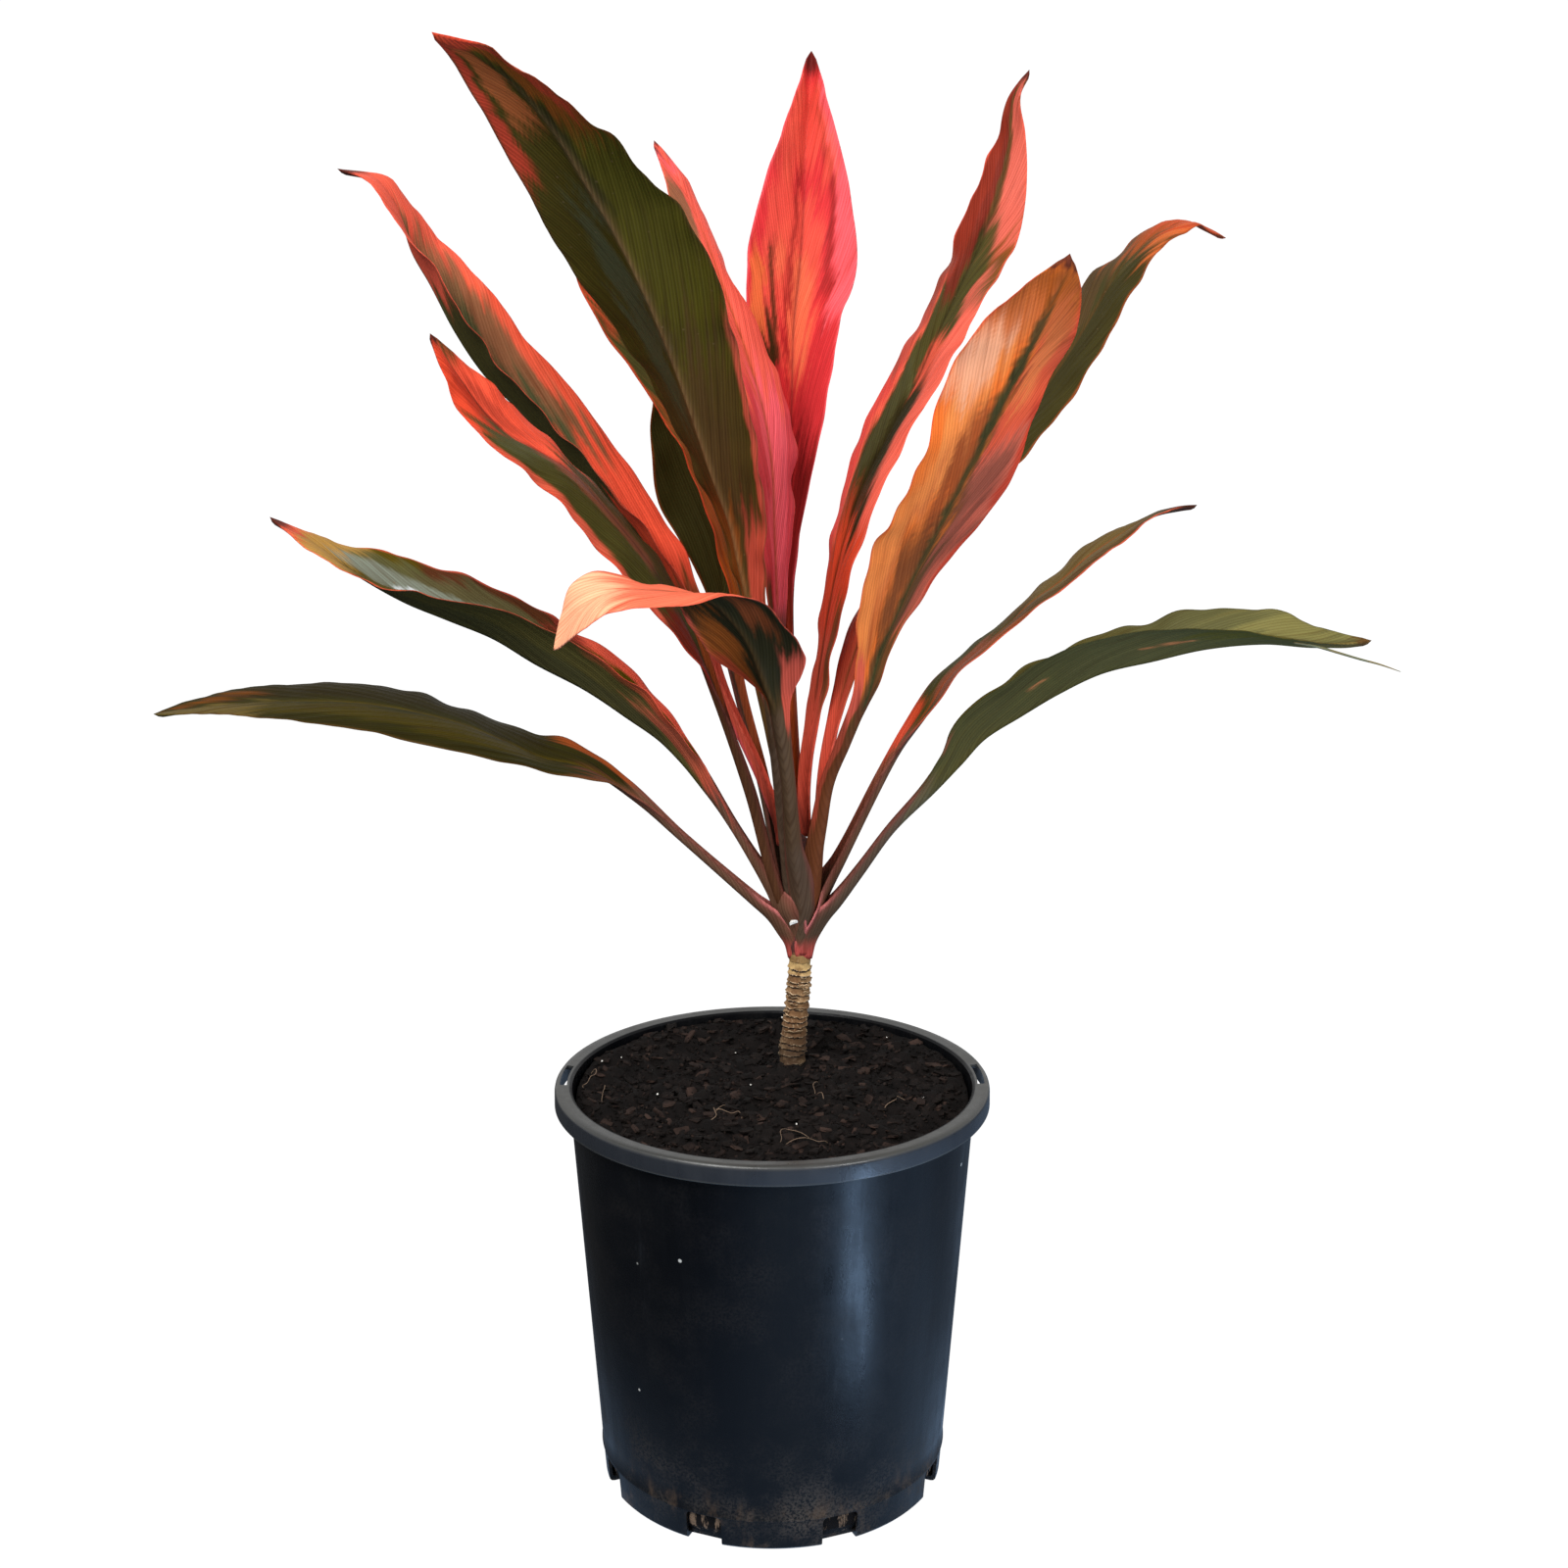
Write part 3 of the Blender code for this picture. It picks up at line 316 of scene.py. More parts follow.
    # leaf_11's orange ground and its pale orange washes are brightened to paint the glow of light
    # shining through the leaf.
    "leaf_11": ("amber", "brown", "scarlet", "moss", (
        ("brown", 0.0, 0.44, -0.3, 1.1, 0.9, 1.2), ("brown", 0.0, 0.14, -1.1, 1.1, 0.9, 1.0),
        ("coral", 0.14, 0.40, -1.1, -0.45, 0.85, 0.9),
        ("apricot", 0.40, 0.66, -1.1, -0.45, 0.6, 1.2),
        ("apricot", 0.66, 0.92, -0.75, -0.2, 0.7, 1.0),
        ("cream", 0.80, 0.90, -1.0, -0.35, 0.75, 0.9),
        ("rose", 0.44, 0.76, 0.22, 1.1, 0.8, 1.0), ("rose_brown", 0.44, 0.72, 0.20, 0.7, 0.70, 1.2),
        ("flame", 0.74, 0.95, 0.2, 1.1, 0.8, 1.0), ("apricot", 0.80, 0.92, 0.3, 0.75, 0.5, 0.8),
        ("moss", 0.30, 0.98, -0.06, 0.14, 0.95, 0.6),
        ("moss", 0.36, 0.56, 0.1, 0.5, 0.7, 0.9), ("scarlet", 0.48, 0.80, 0.88, 1.1, 0.9, 0.5),
        ("maroon", 0.0, 0.30, -1.1, 1.1, 0.40, 1.0), ("rust", 0.0, 0.30, -1.1, 1.1, 0.25, 1.0),
        ("brown", 0.44, 0.84, 0.14, 0.28, 0.7, 1.0), ("rust", 0.46, 0.80, -0.30, -0.06, 0.8, 1.0),
        ("brown", 0.42, 0.62, -0.40, -0.04, 0.55, 1.0),
        ("orange", 0.40, 0.74, -0.55, -0.42, 0.6, 0.9), ("orange", 0.88, 0.98, -1.1, 0.9, 0.8, 0.9),
        ("moss", 0.72, 0.97, -0.08, 0.15, 0.85, 0.6), ("ochre", 0.935, 1.1, -1.1, 1.1, 0.75, 0.8),
        ("maroon", 0.985, 1.1, -1.1, 1.1, 0.9, 0.2)),
        (), ()),
    "leaf_12": ("moss", "coral", "rust", "brown", (
        ("coral", 0.10, 0.32, -1.1, 1.1, 0.7, 1.0), ("rose_brown", 0.66, 0.88, 0.1, 1.1, 0.5, 1.3),
        ("sage", 0.56, 0.88, -0.1, 1.1, 0.4, 1.3), ("shade", 0.40, 0.86, -1.1, 1.1, 0.50, 1.2),
        ("rust", 0.86, 1.1, -1.1, 1.1, 0.8, 1.3),
        ("scarlet", 0.92, 1.1, -1.1, 1.1, 0.35, 0.9), ("orange", 0.85, 0.93, -0.9, -0.35, 0.5, 0.7),
        ("moss", 0.80, 0.90, -0.25, 0.05, 0.8, 0.6), ("coral", 0.30, 0.60, 0.70, 1.1, 0.8, 0.7)),
        (), ()),
    "leaf_13": ("moss", "stalk", "coral", "rust", (
        ("rose_brown", 0.10, 0.34, 0.2, 1.1, 0.6, 1.0),
        ("scarlet", 0.30, 0.41, 0.35, 1.1, 0.65, 0.7),
        ("rose_brown", 0.42, 0.56, -0.9, 0.3, 0.8, 0.9), ("brown", 0.60, 0.92, -1.1, 1.1, 0.8, 1.3),
        ("tan", 0.66, 0.90, -0.6, 1.1, 0.5, 1.0), ("rust", 0.54, 0.62, -1.1, -0.6, 0.6, 0.6),
        ("maroon", 0.95, 1.1, -1.1, 1.1, 0.85, 0.6)), (), ()),
    "leaf_14": ("olive", "dusk", "moss", "olive", (
        ("sage", 0.24, 1.0, -1.1, 1.1, 0.5, 1.3), ("moss", 0.30, 0.60, -1.1, 0.2, 0.6, 1.2),
        ("sage", 0.66, 1.0, 0.1, 1.1, 0.5, 1.2),
        ("fresh", 0.83, 0.97, 0.3, 1.1, 0.7, 2.0),
        ("gold_olive", 0.76, 0.90, -1.1, -0.35, 0.7, 0.9),
        ("tan", 0.92, 1.0, -1.1, 0.0, 0.8, 0.8), ("peach", 0.67, 0.75, -0.43, -0.38, 0.5, 0.25),
        ("peach", 0.505, 0.535, -0.52, -0.46, 0.5, 0.25),
        ("rose_brown", 0.36, 0.40, -1.1, -0.85, 0.8, 0.5),
        ("brown", 0.975, 1.1, -1.1, 1.1, 0.9, 0.3)), (), ()),
    "leaf_15": ("shade", "dusk", "coral", "brown", (
        ("brown", 0.16, 0.46, -0.9, 0.9, 0.4, 1.3), ("coral", 0.41, 0.55, 0.45, 1.1, 0.8, 0.9),
        ("coral", 0.41, 0.68, -1.1, -0.90, 0.9, 0.4)),
        (("salmon", 0.60, 1.1, -1.1, 1.1, 1.0, 0.5), ("cream", 0.87, 1.1, -1.1, 1.1, 0.85, 0.9)),
        (("ochre", 0.46, 0.66, -1.1, -0.35, 0.8, 1.8),
         ("scarlet", 0.46, 0.56, -1.1, -0.6, 0.6, 0.8),
         ("rust", 0.60, 0.72, 0.3, 0.75, 0.6, 1.3), ("salmon", 0.78, 1.1, -1.1, 1.1, 0.8, 0.8))),
}
RED_LEAVES = ("leaf_06", "leaf_07", "leaf_09", "leaf_11", "leaf_15")

# Leaf colours by name
LEAF_COLOURS = {
    "olive": (0.077, 0.052, 0.003), "deep_olive": (0.025, 0.022, 0.004),
    "twine": (0.300, 0.160, 0.060), "fresh": (0.180, 0.160, 0.050),
    "gold_olive": (0.088, 0.070, 0.003), "flame": (0.880, 0.095, 0.045),
    # Painted light: the two oranges on the next line are brightened past the leaf's own colour to
    # paint the glow of light shining through leaf_11.
    "amber": (1.000, 0.190, 0.026), "apricot": (1.000, 0.300, 0.070),
    # Painted sheen: the second colour on the next line is a dull green that is partly the leaves'
    # own colour and partly a painted sheen.
    "moss": (0.056, 0.048, 0.011), "sage": (0.090, 0.092, 0.038),
    # Painted sheen: the second colour on the next line is a bluish sheen painted on leaf_02.
    "shade": (0.022, 0.017, 0.004), "steel": (0.240, 0.275, 0.235),
    # Painted highlight: the first colour on the next line is a near-white for small painted glints
    # on leaf_02.
    "chalk": (0.620, 0.680, 0.700), "coral": (0.780, 0.105, 0.060),
    "scarlet": (0.700, 0.060, 0.024), "rust": (0.330, 0.060, 0.013),
    "blood": (0.170, 0.010, 0.008), "crimson": (0.580, 0.030, 0.034),
    "pink": (0.860, 0.110, 0.130), "rose": (0.640, 0.115, 0.080),
    "peach": (0.800, 0.240, 0.085), "orange": (0.660, 0.145, 0.035),
    "ochre": (0.400, 0.085, 0.008), "salmon": (0.860, 0.170, 0.090),
    "cream": (1.000, 0.470, 0.270), "straw": (0.460, 0.250, 0.060),
    "tan": (0.160, 0.110, 0.030), "brown": (0.095, 0.045, 0.012),
    "rose_brown": (0.240, 0.065, 0.035), "maroon": (0.075, 0.014, 0.010),
    "stalk": (0.150, 0.070, 0.040), "dusk": (0.096, 0.056, 0.034),
    "rosy": (0.190, 0.045, 0.035), "blush": (0.640, 0.180, 0.170),
    "ruddy": (0.460, 0.070, 0.060),
}

# Noise: the size of its lattice, and what several sizes added up are divided by
LATTICE = (67, 71)
ROUGH_REACH = 1.6

# Marks: their kind and field by how many numbers a point holds
MARK_KINDS = {1: ("FLOAT", "value"), 3: ("FLOAT_VECTOR", "vector"), 4: ("FLOAT_COLOR", "color")}

# Distance within which the points of a seam are welded
WELD = 2e-6

# Leaf paint: what the veins multiply the tint by, then the specks and the bloom underneath
DEEP_VEIN = (0.50, 0.38, 0.30)
PALE_VEIN = (1.45, 1.55, 1.45)
LEAF_SPECK = (0.20, 0.12, 0.055)
LEAF_BLOOM = (0.20, 0.20, 0.15)

# How far three noises fray a wash's borders, and how soft these are, along and across a leaf
FRAY_ALONG = (0.042, 0.020, 0.034)
FRAY_ACROSS = (0.16, 0.10, 0.07)
SOFT_ALONG = 0.052
SOFT_ACROSS = 0.15

# Leaf shape: where a stalk turns into a blade, by its half width in millimetres
BLADE_FROM = 5.0

# Leaf shape: the veins' angle off the rib, the share that the tip closes over, the section's bow
VEIN_LEAN = math.radians(13.0)
TIP_TAPER = 0.012
SPLAY = 0.28

# Leaf shape: powers that crowd the points towards the margins and round the margins off
CROWDING = 1.35
MARGIN_POWER = 36

# Leaf thickness at the rib and how much less it is at the margin, in millimetres
STALK_THICK = 2.1
STALK_THINS = 1.1
BLADE_THICK = 0.66
BLADE_THINS = 0.16

# Rib: the keel under it and the groove above it, height and half width in millimetres
KEEL = 1.25
KEEL_WIDTH = 1.5
GROOVE = 0.35
GROOVE_WIDTH = 1.0

# Leaf margins: the lengths of two waves and the depth of the dents, in millimetres
LONG_WAVE = 37.0
SHORT_WAVE = 22.0
DENT = 0.30

# Step over which a tube's direction is taken, in millimetres
TUBE_STEP = 0.5

# Lights: the sun, the low card by the pot and the fill beside the camera
SUN_AIM = (0.48, 0.72, -0.95)
CARD_PLACE = (0.335, -0.345, 0.004)
CARD_TURN = (math.pi, 0.0, math.radians(45.0))
CARD_SIZE = (0.06, 0.55)
FILL_PLACE = (0.75, -1.05, 0.80)
FILL_AIM = (-0.60, 1.05, -0.35)
FILL_SIZE = (0.6, 0.4)

# How bright the sky looks to the camera
SEEN_SKY = 1.05

# Floor: its radius, where its light turns from left to right, and how that fades along each axis
FLOOR_RADIUS = 14.0
LEFT_TO_RIGHT = (-0.24, 0.06)
FLOOR_FADES = (("X", 0.90, 0.50, 0.4, 1.0), ("Y", 0.10, -0.06, 0.25, 1.0),
               ("Y", -0.90, -0.60, 0.4, 1.0))

# Pot: its first notch, how far out the notches are cut, and the ridge above its foot
FIRST_NOTCH = math.radians(22.5)
NOTCH_OUT = 0.080
FOOT_RIDGE = 0.0155

# Rim slots: where they start and how far they sweep in degrees, their radius and their section
RIM_SLOTS = (4.0, 177.0)
SLOT_SWEEP = 14.5
SLOT_OUT = 0.0959
SLOT_SECTION = (0.0032, 0.0062)

# Angle between the pot's faces above which their edge stays sharp
SHARP_FROM = math.radians(35.0)

# Pot paint: the bluish tinge, the scuffs and the stray specks
POT_TINGE = (0.0028, 0.0031, 0.0038)
POT_SCUFF = (0.045, 0.050, 0.060)
POT_SPECK = (0.50, 0.50, 0.47)

# Potting mix, in millimetres: its gap to the wall, its heap at the back and its underside
WALL_GAP = 0.5
BACK_HEAP = 7.0
SOIL_FOOT = 2.3

# Shares of the potting mix's sheet that make its top and its side
TOP_SHARE = 0.72
WALL_SHARE = 0.24

# Seed of what is strewn on the mix, and how far it keeps off the cane in millimetres
SOIL_SEED = 41
CHIP_KEEP_OFF = 7.0
ROOTLET_KEEP_OFF = 12.0

# Rootlets: points along each, and in millimetres their spacing and where the ends lie
ROOTLET_KNOTS = 8
ROOTLET_STEP = 3.2
ROOTLET_END = -0.8

# Tones of the white grains and of the painted shade in the gaps between crumbs
GRAIN_WHITE = (0.84, 0.82, 0.76)
CRUMB_GAP_SHADE = (0.0016, 0.0012, 0.0010)

# Cane: the seed of its scars, and in millimetres the first and last scar and its young part
CANE_SEED = 23
FIRST_SCAR = 183.0
LAST_SCAR = 246.0
YOUNG_FROM = 234.0

# Leaf scars: the lip above and the groove below, height and width in millimetres
LIP = (1.0, 0.9)
RING_GROOVE = (0.75, 0.55)

# A distance longer than any on the cane, in millimetres
FAR_OFF = 99.0

# Papery scales: half their thickness in millimetres
FLAKE_HALF = 0.09

# How the white fleck is turned, and what the old rind multiplies the young one by
FLECK_TURN = (0.0, -0.35, 0.3)
OLD_RIND = (0.30, 0.22, 0.17)


def amount(name, text, value, **more):
    return FloatProperty(name=name, description=text, default=value, min=0.0, **more)


def length(name, text, value):
    return amount(name, text, value, unit="LENGTH")


def share(name, text, value):
    return amount(name, text, value, max=1.0, subtype="FACTOR")


def colour(name, text, value):
    return FloatVectorProperty(name=name, description=text, default=value, size=3,
                               subtype="COLOR", min=0.0, max=1.0)


def count(name, text, value):
    return IntProperty(name=name, description=text, default=value, min=1)


class PLANT_PG_pot(bpy.types.PropertyGroup):
    """Sizes and colours of the nursery pot."""
    height: length("Height", "From the floor's underside to the top of the rim",
                   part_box("pot")[1].z)
    rim_radius: length("Rim radius", "Outer radius of the rim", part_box("pot")[1].x)
    foot_radius: length("Foot radius", "Outer radius of the wall at the foot", 0.0799)
    wall_top_radius: length("Wall radius", "Outer radius of the wall under the rim", 0.0929)
    wall: length("Wall", "Thickness of the wall", 0.0016)
    skirt: length("Skirt", "Depth of the skirt under the rim", 0.009)
    sides: count("Sides", "Points round the pot", 192)
    notches: count("Notches", "Drainage notches round the foot", 8)
    notch_width: length("Notch width", "Width of a drainage notch", 0.017)
    notch_height: length("Notch height", "Height of a drainage notch", 0.015)
    black: colour("Plastic", "Colour of the plastic", (0.0017, 0.0020, 0.0029))
    # Painted light: this lighter colour on the rim's top and along the skirt's lower edge paints
    # the light that these catch.
    lit_rim_grey: colour("Lit rim plastic", "Colour of the rim's top", (0.033, 0.033, 0.030))
    skirting: colour("Skirt", "Colour of the skirt", (0.013, 0.015, 0.019))
    dust: colour("Dust", "Colour of the dried dust near the foot", (0.075, 0.062, 0.052))
    mud: colour("Mud", "Colour of the smears by the notches", (0.070, 0.045, 0.028))
    roughness: share("Roughness", "Roughness of clean plastic", 0.29)


class PLANT_PG_soil(bpy.types.PropertyGroup):
    """Sizes and colours of the potting mix."""
    top: length("Top", "Height of the mix at the wall", 0.183)
    crown: length("Crown", "How far the middle stands above the edge", 0.0035)
    chips: count("Chips", "Bark chips on the top", 900)
    crumbs: count("Crumbs", "Small crumbs on the top", 2600)
    rootlets: count("Rootlets", "Pale rootlets on the top", 8)
    specks: count("Specks", "White grains on the top", 12)
    peat: colour("Peat", "Colour of the fine mix", (0.0042, 0.0029, 0.0025))
    bark: colour("Bark", "Colour of the bark chips", (0.0070, 0.0047, 0.0039))
    root: colour("Root", "Colour of the rootlets", (0.17, 0.11, 0.07))


class PLANT_PG_cane(bpy.types.PropertyGroup):
    """Sizes and colours of the cane."""
    ring_pitch: length("Ring pitch", "Mean height between leaf scars", 0.0036)
    flakes: count("Flakes", "Torn papery scales left on the cane", 26)
    tan: colour("Cane tan", "Colour of the dry rind", (0.440, 0.280, 0.140))
    # This dark is laid on the dark fibres and along the leaf scars, where it is partly the scars'
    # own colour and partly painted shadow in the groove under each ring's lip.
    dark: colour("Scar", "Colour of the leaf scars", (0.016, 0.007, 0.004))
    straw: colour("Young rind", "Colour just below the crown", (0.560, 0.370, 0.130))
    paper: colour("Paper", "Colour of the torn papery edges", (0.700, 0.520, 0.330))
    core: colour("Core", "Colour of the folded young stalks", (0.075, 0.03, 0.024))


class PLANT_PG_leaf(bpy.types.PropertyGroup):
    """Sizes and colours of the leaves."""
    around: count("Around", "Points round a leaf's section", 112)
    along: count("Along", "Rows of points along a leaf", 168)
    vein_pitch: length("Vein pitch", "Distance between neighbouring veins", 0.0013)
    pleat_pitch: length("Pleat pitch", "Distance between the low pleats", 0.0042)
    pleat: length("Pleat", "Height of the low pleats", 0.00011)
    ripple: length("Ripple", "Height of the small waves along the margins", 0.0011)
    margin: length("Margin", "Width of the coloured margin line", 0.0008)


for tone_name, tone_value in LEAF_COLOURS.items():
    PLANT_PG_leaf.__annotations__[tone_name] = colour(
        tone_name.replace("_", " ").capitalize(), "Leaf colour", tone_value)


class PLANT_PG_stage(bpy.types.PropertyGroup):
    """The floor, the light and the camera."""
    floor: colour("Floor", "Colour of the floor", (0.03, 0.03, 0.03))
    glow: amount("Glow", "How bright the floor looks", 1.0)
    cool: colour("Cool", "Colour of the light that the floor throws up", (0.42, 0.65, 1.0))
    left: amount("Left", "Light thrown up on the left", 0.05)
    right: amount("Right", "Light thrown up on the right", 1.0)
    sky: colour("Sky", "Colour of the even light", (1.0, 1.0, 1.0))
    dome: amount("Dome", "Strength of the even light from above", 0.72)
    sun: amount("Sun", "Strength of the main light", 3.0)
    sun_spread: amount("Spread", "Width of the main light in degrees", 30.0)
    card: amount("Card", "Power of the low light by the pot", 1.5, unit="POWER")
    fill: amount("Fill", "Power of the light beside the camera", 8.0, unit="POWER")


def smooth(value):
    value = np.clip(value, 0.0, 1.0)
    return value * value * (3.0 - 2.0 * value)


def band(value, low, high, soft):
    """1 between low and high, falling to 0 over the soft width at each end."""
    return smooth((value - low) / soft + 0.5) * smooth((high - value) / soft + 0.5)


def grain(seed, x, y):
    """Smooth noise from 0 to 1 on a lattice of whole numbers."""
    table = np.random.default_rng(seed).random(LATTICE)
    i, j = np.floor(x).astype(int), np.floor(y).astype(int)
    a, b = smooth(x - i), smooth(y - j)
    rows = [(i + k) % LATTICE[0] for k in (0, 1)]
    cols = [(j + k) % LATTICE[1] for k in (0, 1)]
    low, high = (table[rows[0], col] * (1 - a) + table[rows[1], col] * a for col in cols)
    return low * (1 - b) + high * b


def rough(seed, x, y, octaves):
    """Several sizes of noise added up, about from -1 to 1."""
    total = np.zeros(np.broadcast(x, y).shape)
    for k in range(octaves):
        total += (grain(seed + k, x * 2 ** k, y * 2 ** k) * 2 - 1) / 2 ** k
    return total / ROUGH_REACH


def knots(route):
    """Length along the route at each of its points."""
    steps = [math.dist(a[:3], b[:3]) for a, b in zip(route, route[1:])]
    return np.concatenate([[0.0], np.cumsum(steps)])


def on_route(route, at):
    """Every value of the route at the given lengths, on a smooth curve through its points."""
    rows = np.array(route, float)
    lengths = knots(route)
    last = len(rows) - 1
    i = np.clip(np.searchsorted(lengths, at, side="left") - 1, 0, last - 1)
    span = (lengths[i + 1] - lengths[i])[:, None]
    t = (at - lengths[i])[:, None] / span

    def slope(j):
        a = np.maximum(j - 1, 0)
        b = np.minimum(j + 1, last)
        return (rows[b] - rows[a]) / (lengths[b] - lengths[a])[:, None]

    return ((2 * t ** 3 - 3 * t ** 2 + 1) * rows[i] + (t ** 3 - 2 * t ** 2 + t) * span * slope(i)
            + (3 * t ** 2 - 2 * t ** 3) * rows[i + 1] + (t ** 3 - t ** 2) * span * slope(i + 1))


def unit(vectors):
    return vectors / (np.linalg.norm(vectors, axis=-1, keepdims=True) + 1e-12)


def heading_of(route, at, step):
    """Unit direction of the route at the given lengths, taken over a step to each side."""
    ahead = on_route(route, np.minimum(at + step, knots(route)[-1]))[:, :3]
    behind = on_route(route, np.maximum(at - step, 0.0))[:, :3]
    return unit(ahead - behind)


def start_clean():
    if bpy.context.mode != "OBJECT":
        bpy.ops.object.mode_set(mode="OBJECT")
    bpy.ops.object.select_all(action="DESELECT")


def choose(piece):
    start_clean()
    piece.select_set(True)
    bpy.context.view_layer.objects.active = piece
    return piece


def sheet_of_points(name, across, along, place):
    """Adds a grid of points and puts each one where place(u, v) says, u and v from 0 to 1.
    place also gives the marks: values that the materials read at each point."""
    start_clean()
    bpy.ops.mesh.primitive_grid_add(x_subdivisions=across, y_subdivisions=along, size=1.0,
                                    location=(0, 0, 0))
    piece = bpy.context.active_object
    piece.name = name
    piece.data.name = name
    flat = np.zeros(len(piece.data.vertices) * 3)
    piece.data.vertices.foreach_get("co", flat)
    flat = flat.reshape(-1, 3) + 0.5
    points, marks = place(flat[:, 0], flat[:, 1])
    piece.data.vertices.foreach_set("co", points.astype(np.float32).ravel())
    for mark, values in marks.items():
        kind, field = MARK_KINDS[values.size // len(values)]
        layer = piece.data.attributes.new(mark, kind, "POINT")
        layer.data.foreach_set(field, values.astype(np.float32).ravel())
    piece.data.update()
    return piece


def close_up(piece):
    """Welds the seam of a rolled-up sheet, closes its ends and turns its faces outwards."""
    choose(piece)
    bpy.ops.object.mode_set(mode="EDIT")
    bpy.ops.mesh.select_all(action="SELECT")
    bpy.ops.mesh.remove_doubles(threshold=WELD)
    bpy.ops.mesh.fill_holes(sides=0)
    bpy.ops.mesh.select_all(action="SELECT")
    bpy.ops.mesh.normals_make_consistent(inside=False)
    bpy.ops.object.mode_set(mode="OBJECT")
    bpy.ops.object.shade_smooth()
    return piece


def finish_piece(piece, paint, nodes=()):
    """Gives a finished piece its paint, body, slot and the solids that it stands for."""
    piece.data.materials.clear()
    piece.data.materials.append(paint)
    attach(piece, BODY)
    if nodes:
        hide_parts(*nodes)
    return piece


class Paint:
    """A material with helpers that add and link its nodes."""

    def __init__(self, name):
        self.material = bpy.data.materials.new(name)
        self.material.use_nodes = True
        self.tree = self.material.node_tree
        self.shader = self.tree.nodes["Principled BSDF"]
        self.place = self.node("TexCoord").outputs["Object"]

    def feed(self, socket, source):
        """Links the socket to another one, or sets its value."""
        if isinstance(source, bpy.types.NodeSocket):
            self.tree.links.new(source, socket)
        else:
            socket.default_value = source

    def node(self, kind, links=None, **settings):
        made = self.tree.nodes.new("ShaderNode" + kind)
        for key, value in settings.items():
            setattr(made, key, value)
        for key, source in (links or {}).items():
            self.feed(made.inputs[key], source)
        return made

    def math(self, operation, a, b=0.0):
        return self.node("Math", {0: a, 1: b}, operation=operation).outputs[0]

    def plus(self, a, b):
        return self.math("ADD", a, b)

    def times(self, product, *factors):
        for factor in factors:
            product = self.math("MULTIPLY", product, factor)
        return product

    def noise(self, vector, scale, detail=4.0, roughness=0.55):
        return self.node("TexNoise", {"Vector": vector, "Scale": scale, "Detail": detail,
                                      "Roughness": roughness}).outputs["Fac"]

    def drawn(self, vector, scales, detail, roughness=0.55):
        """Noise that is drawn out by its own scale along each axis."""
        return self.noise(self.scaled(vector, scales), 1.0, detail, roughness)

    def dots(self, scale, edge, core):
        """Round dots, one to each cell."""
        cells = self.node("TexVoronoi", {"Vector": self.place, "Scale": scale})
        return self.ramp(cells.outputs["Distance"], edge, core)

    def ramp(self, value, low, high, start=0.0, end=1.0):
        return self.node("MapRange", {"Value": value, "From Min": low, "From Max": high,
                                      "To Min": start, "To Max": end},
                         interpolation_type="SMOOTHSTEP").outputs["Result"]

    def blend(self, factor, a, b):
        return self.node("Mix", {0: factor, 2: a, 3: b}, data_type="FLOAT").outputs[0]

    def mix(self, factor, a, b, blend="MIX"):
        made = self.node("Mix", {0: factor}, data_type="RGBA", blend_type=blend)
        for key, tone in ((6, a), (7, b)):
            linked = isinstance(tone, bpy.types.NodeSocket)
            self.feed(made.inputs[key], tone if linked else (*tone, 1.0))
        return made.outputs[2]

    def coated(self, base, *coats):
        """The base with each coat, a cover and a colour, laid over it in turn."""
        for cover, tone in coats:
            base = self.mix(cover, base, tone)
        return base

    def scaled(self, vector, scale):
        return self.node("Mapping", {"Vector": vector, "Scale": scale}).outputs[0]

    def parts(self, vector):
        return self.node("SeparateXYZ", {"Vector": vector}).outputs

    def mark(self, name, output="Fac"):
        return self.node("Attribute", attribute_name=name).outputs[output]

    def bump(self, height, strength, distance, normal=None):
        links = {"Height": height, "Strength": strength, "Distance": distance}
        if normal is not None:
            links["Normal"] = normal
        return self.node("Bump", links).outputs[0]

    def set(self, **sockets):
        for key, source in sockets.items():
            self.feed(self.shader.inputs[key.replace("_", " ")], source)
        return self.material


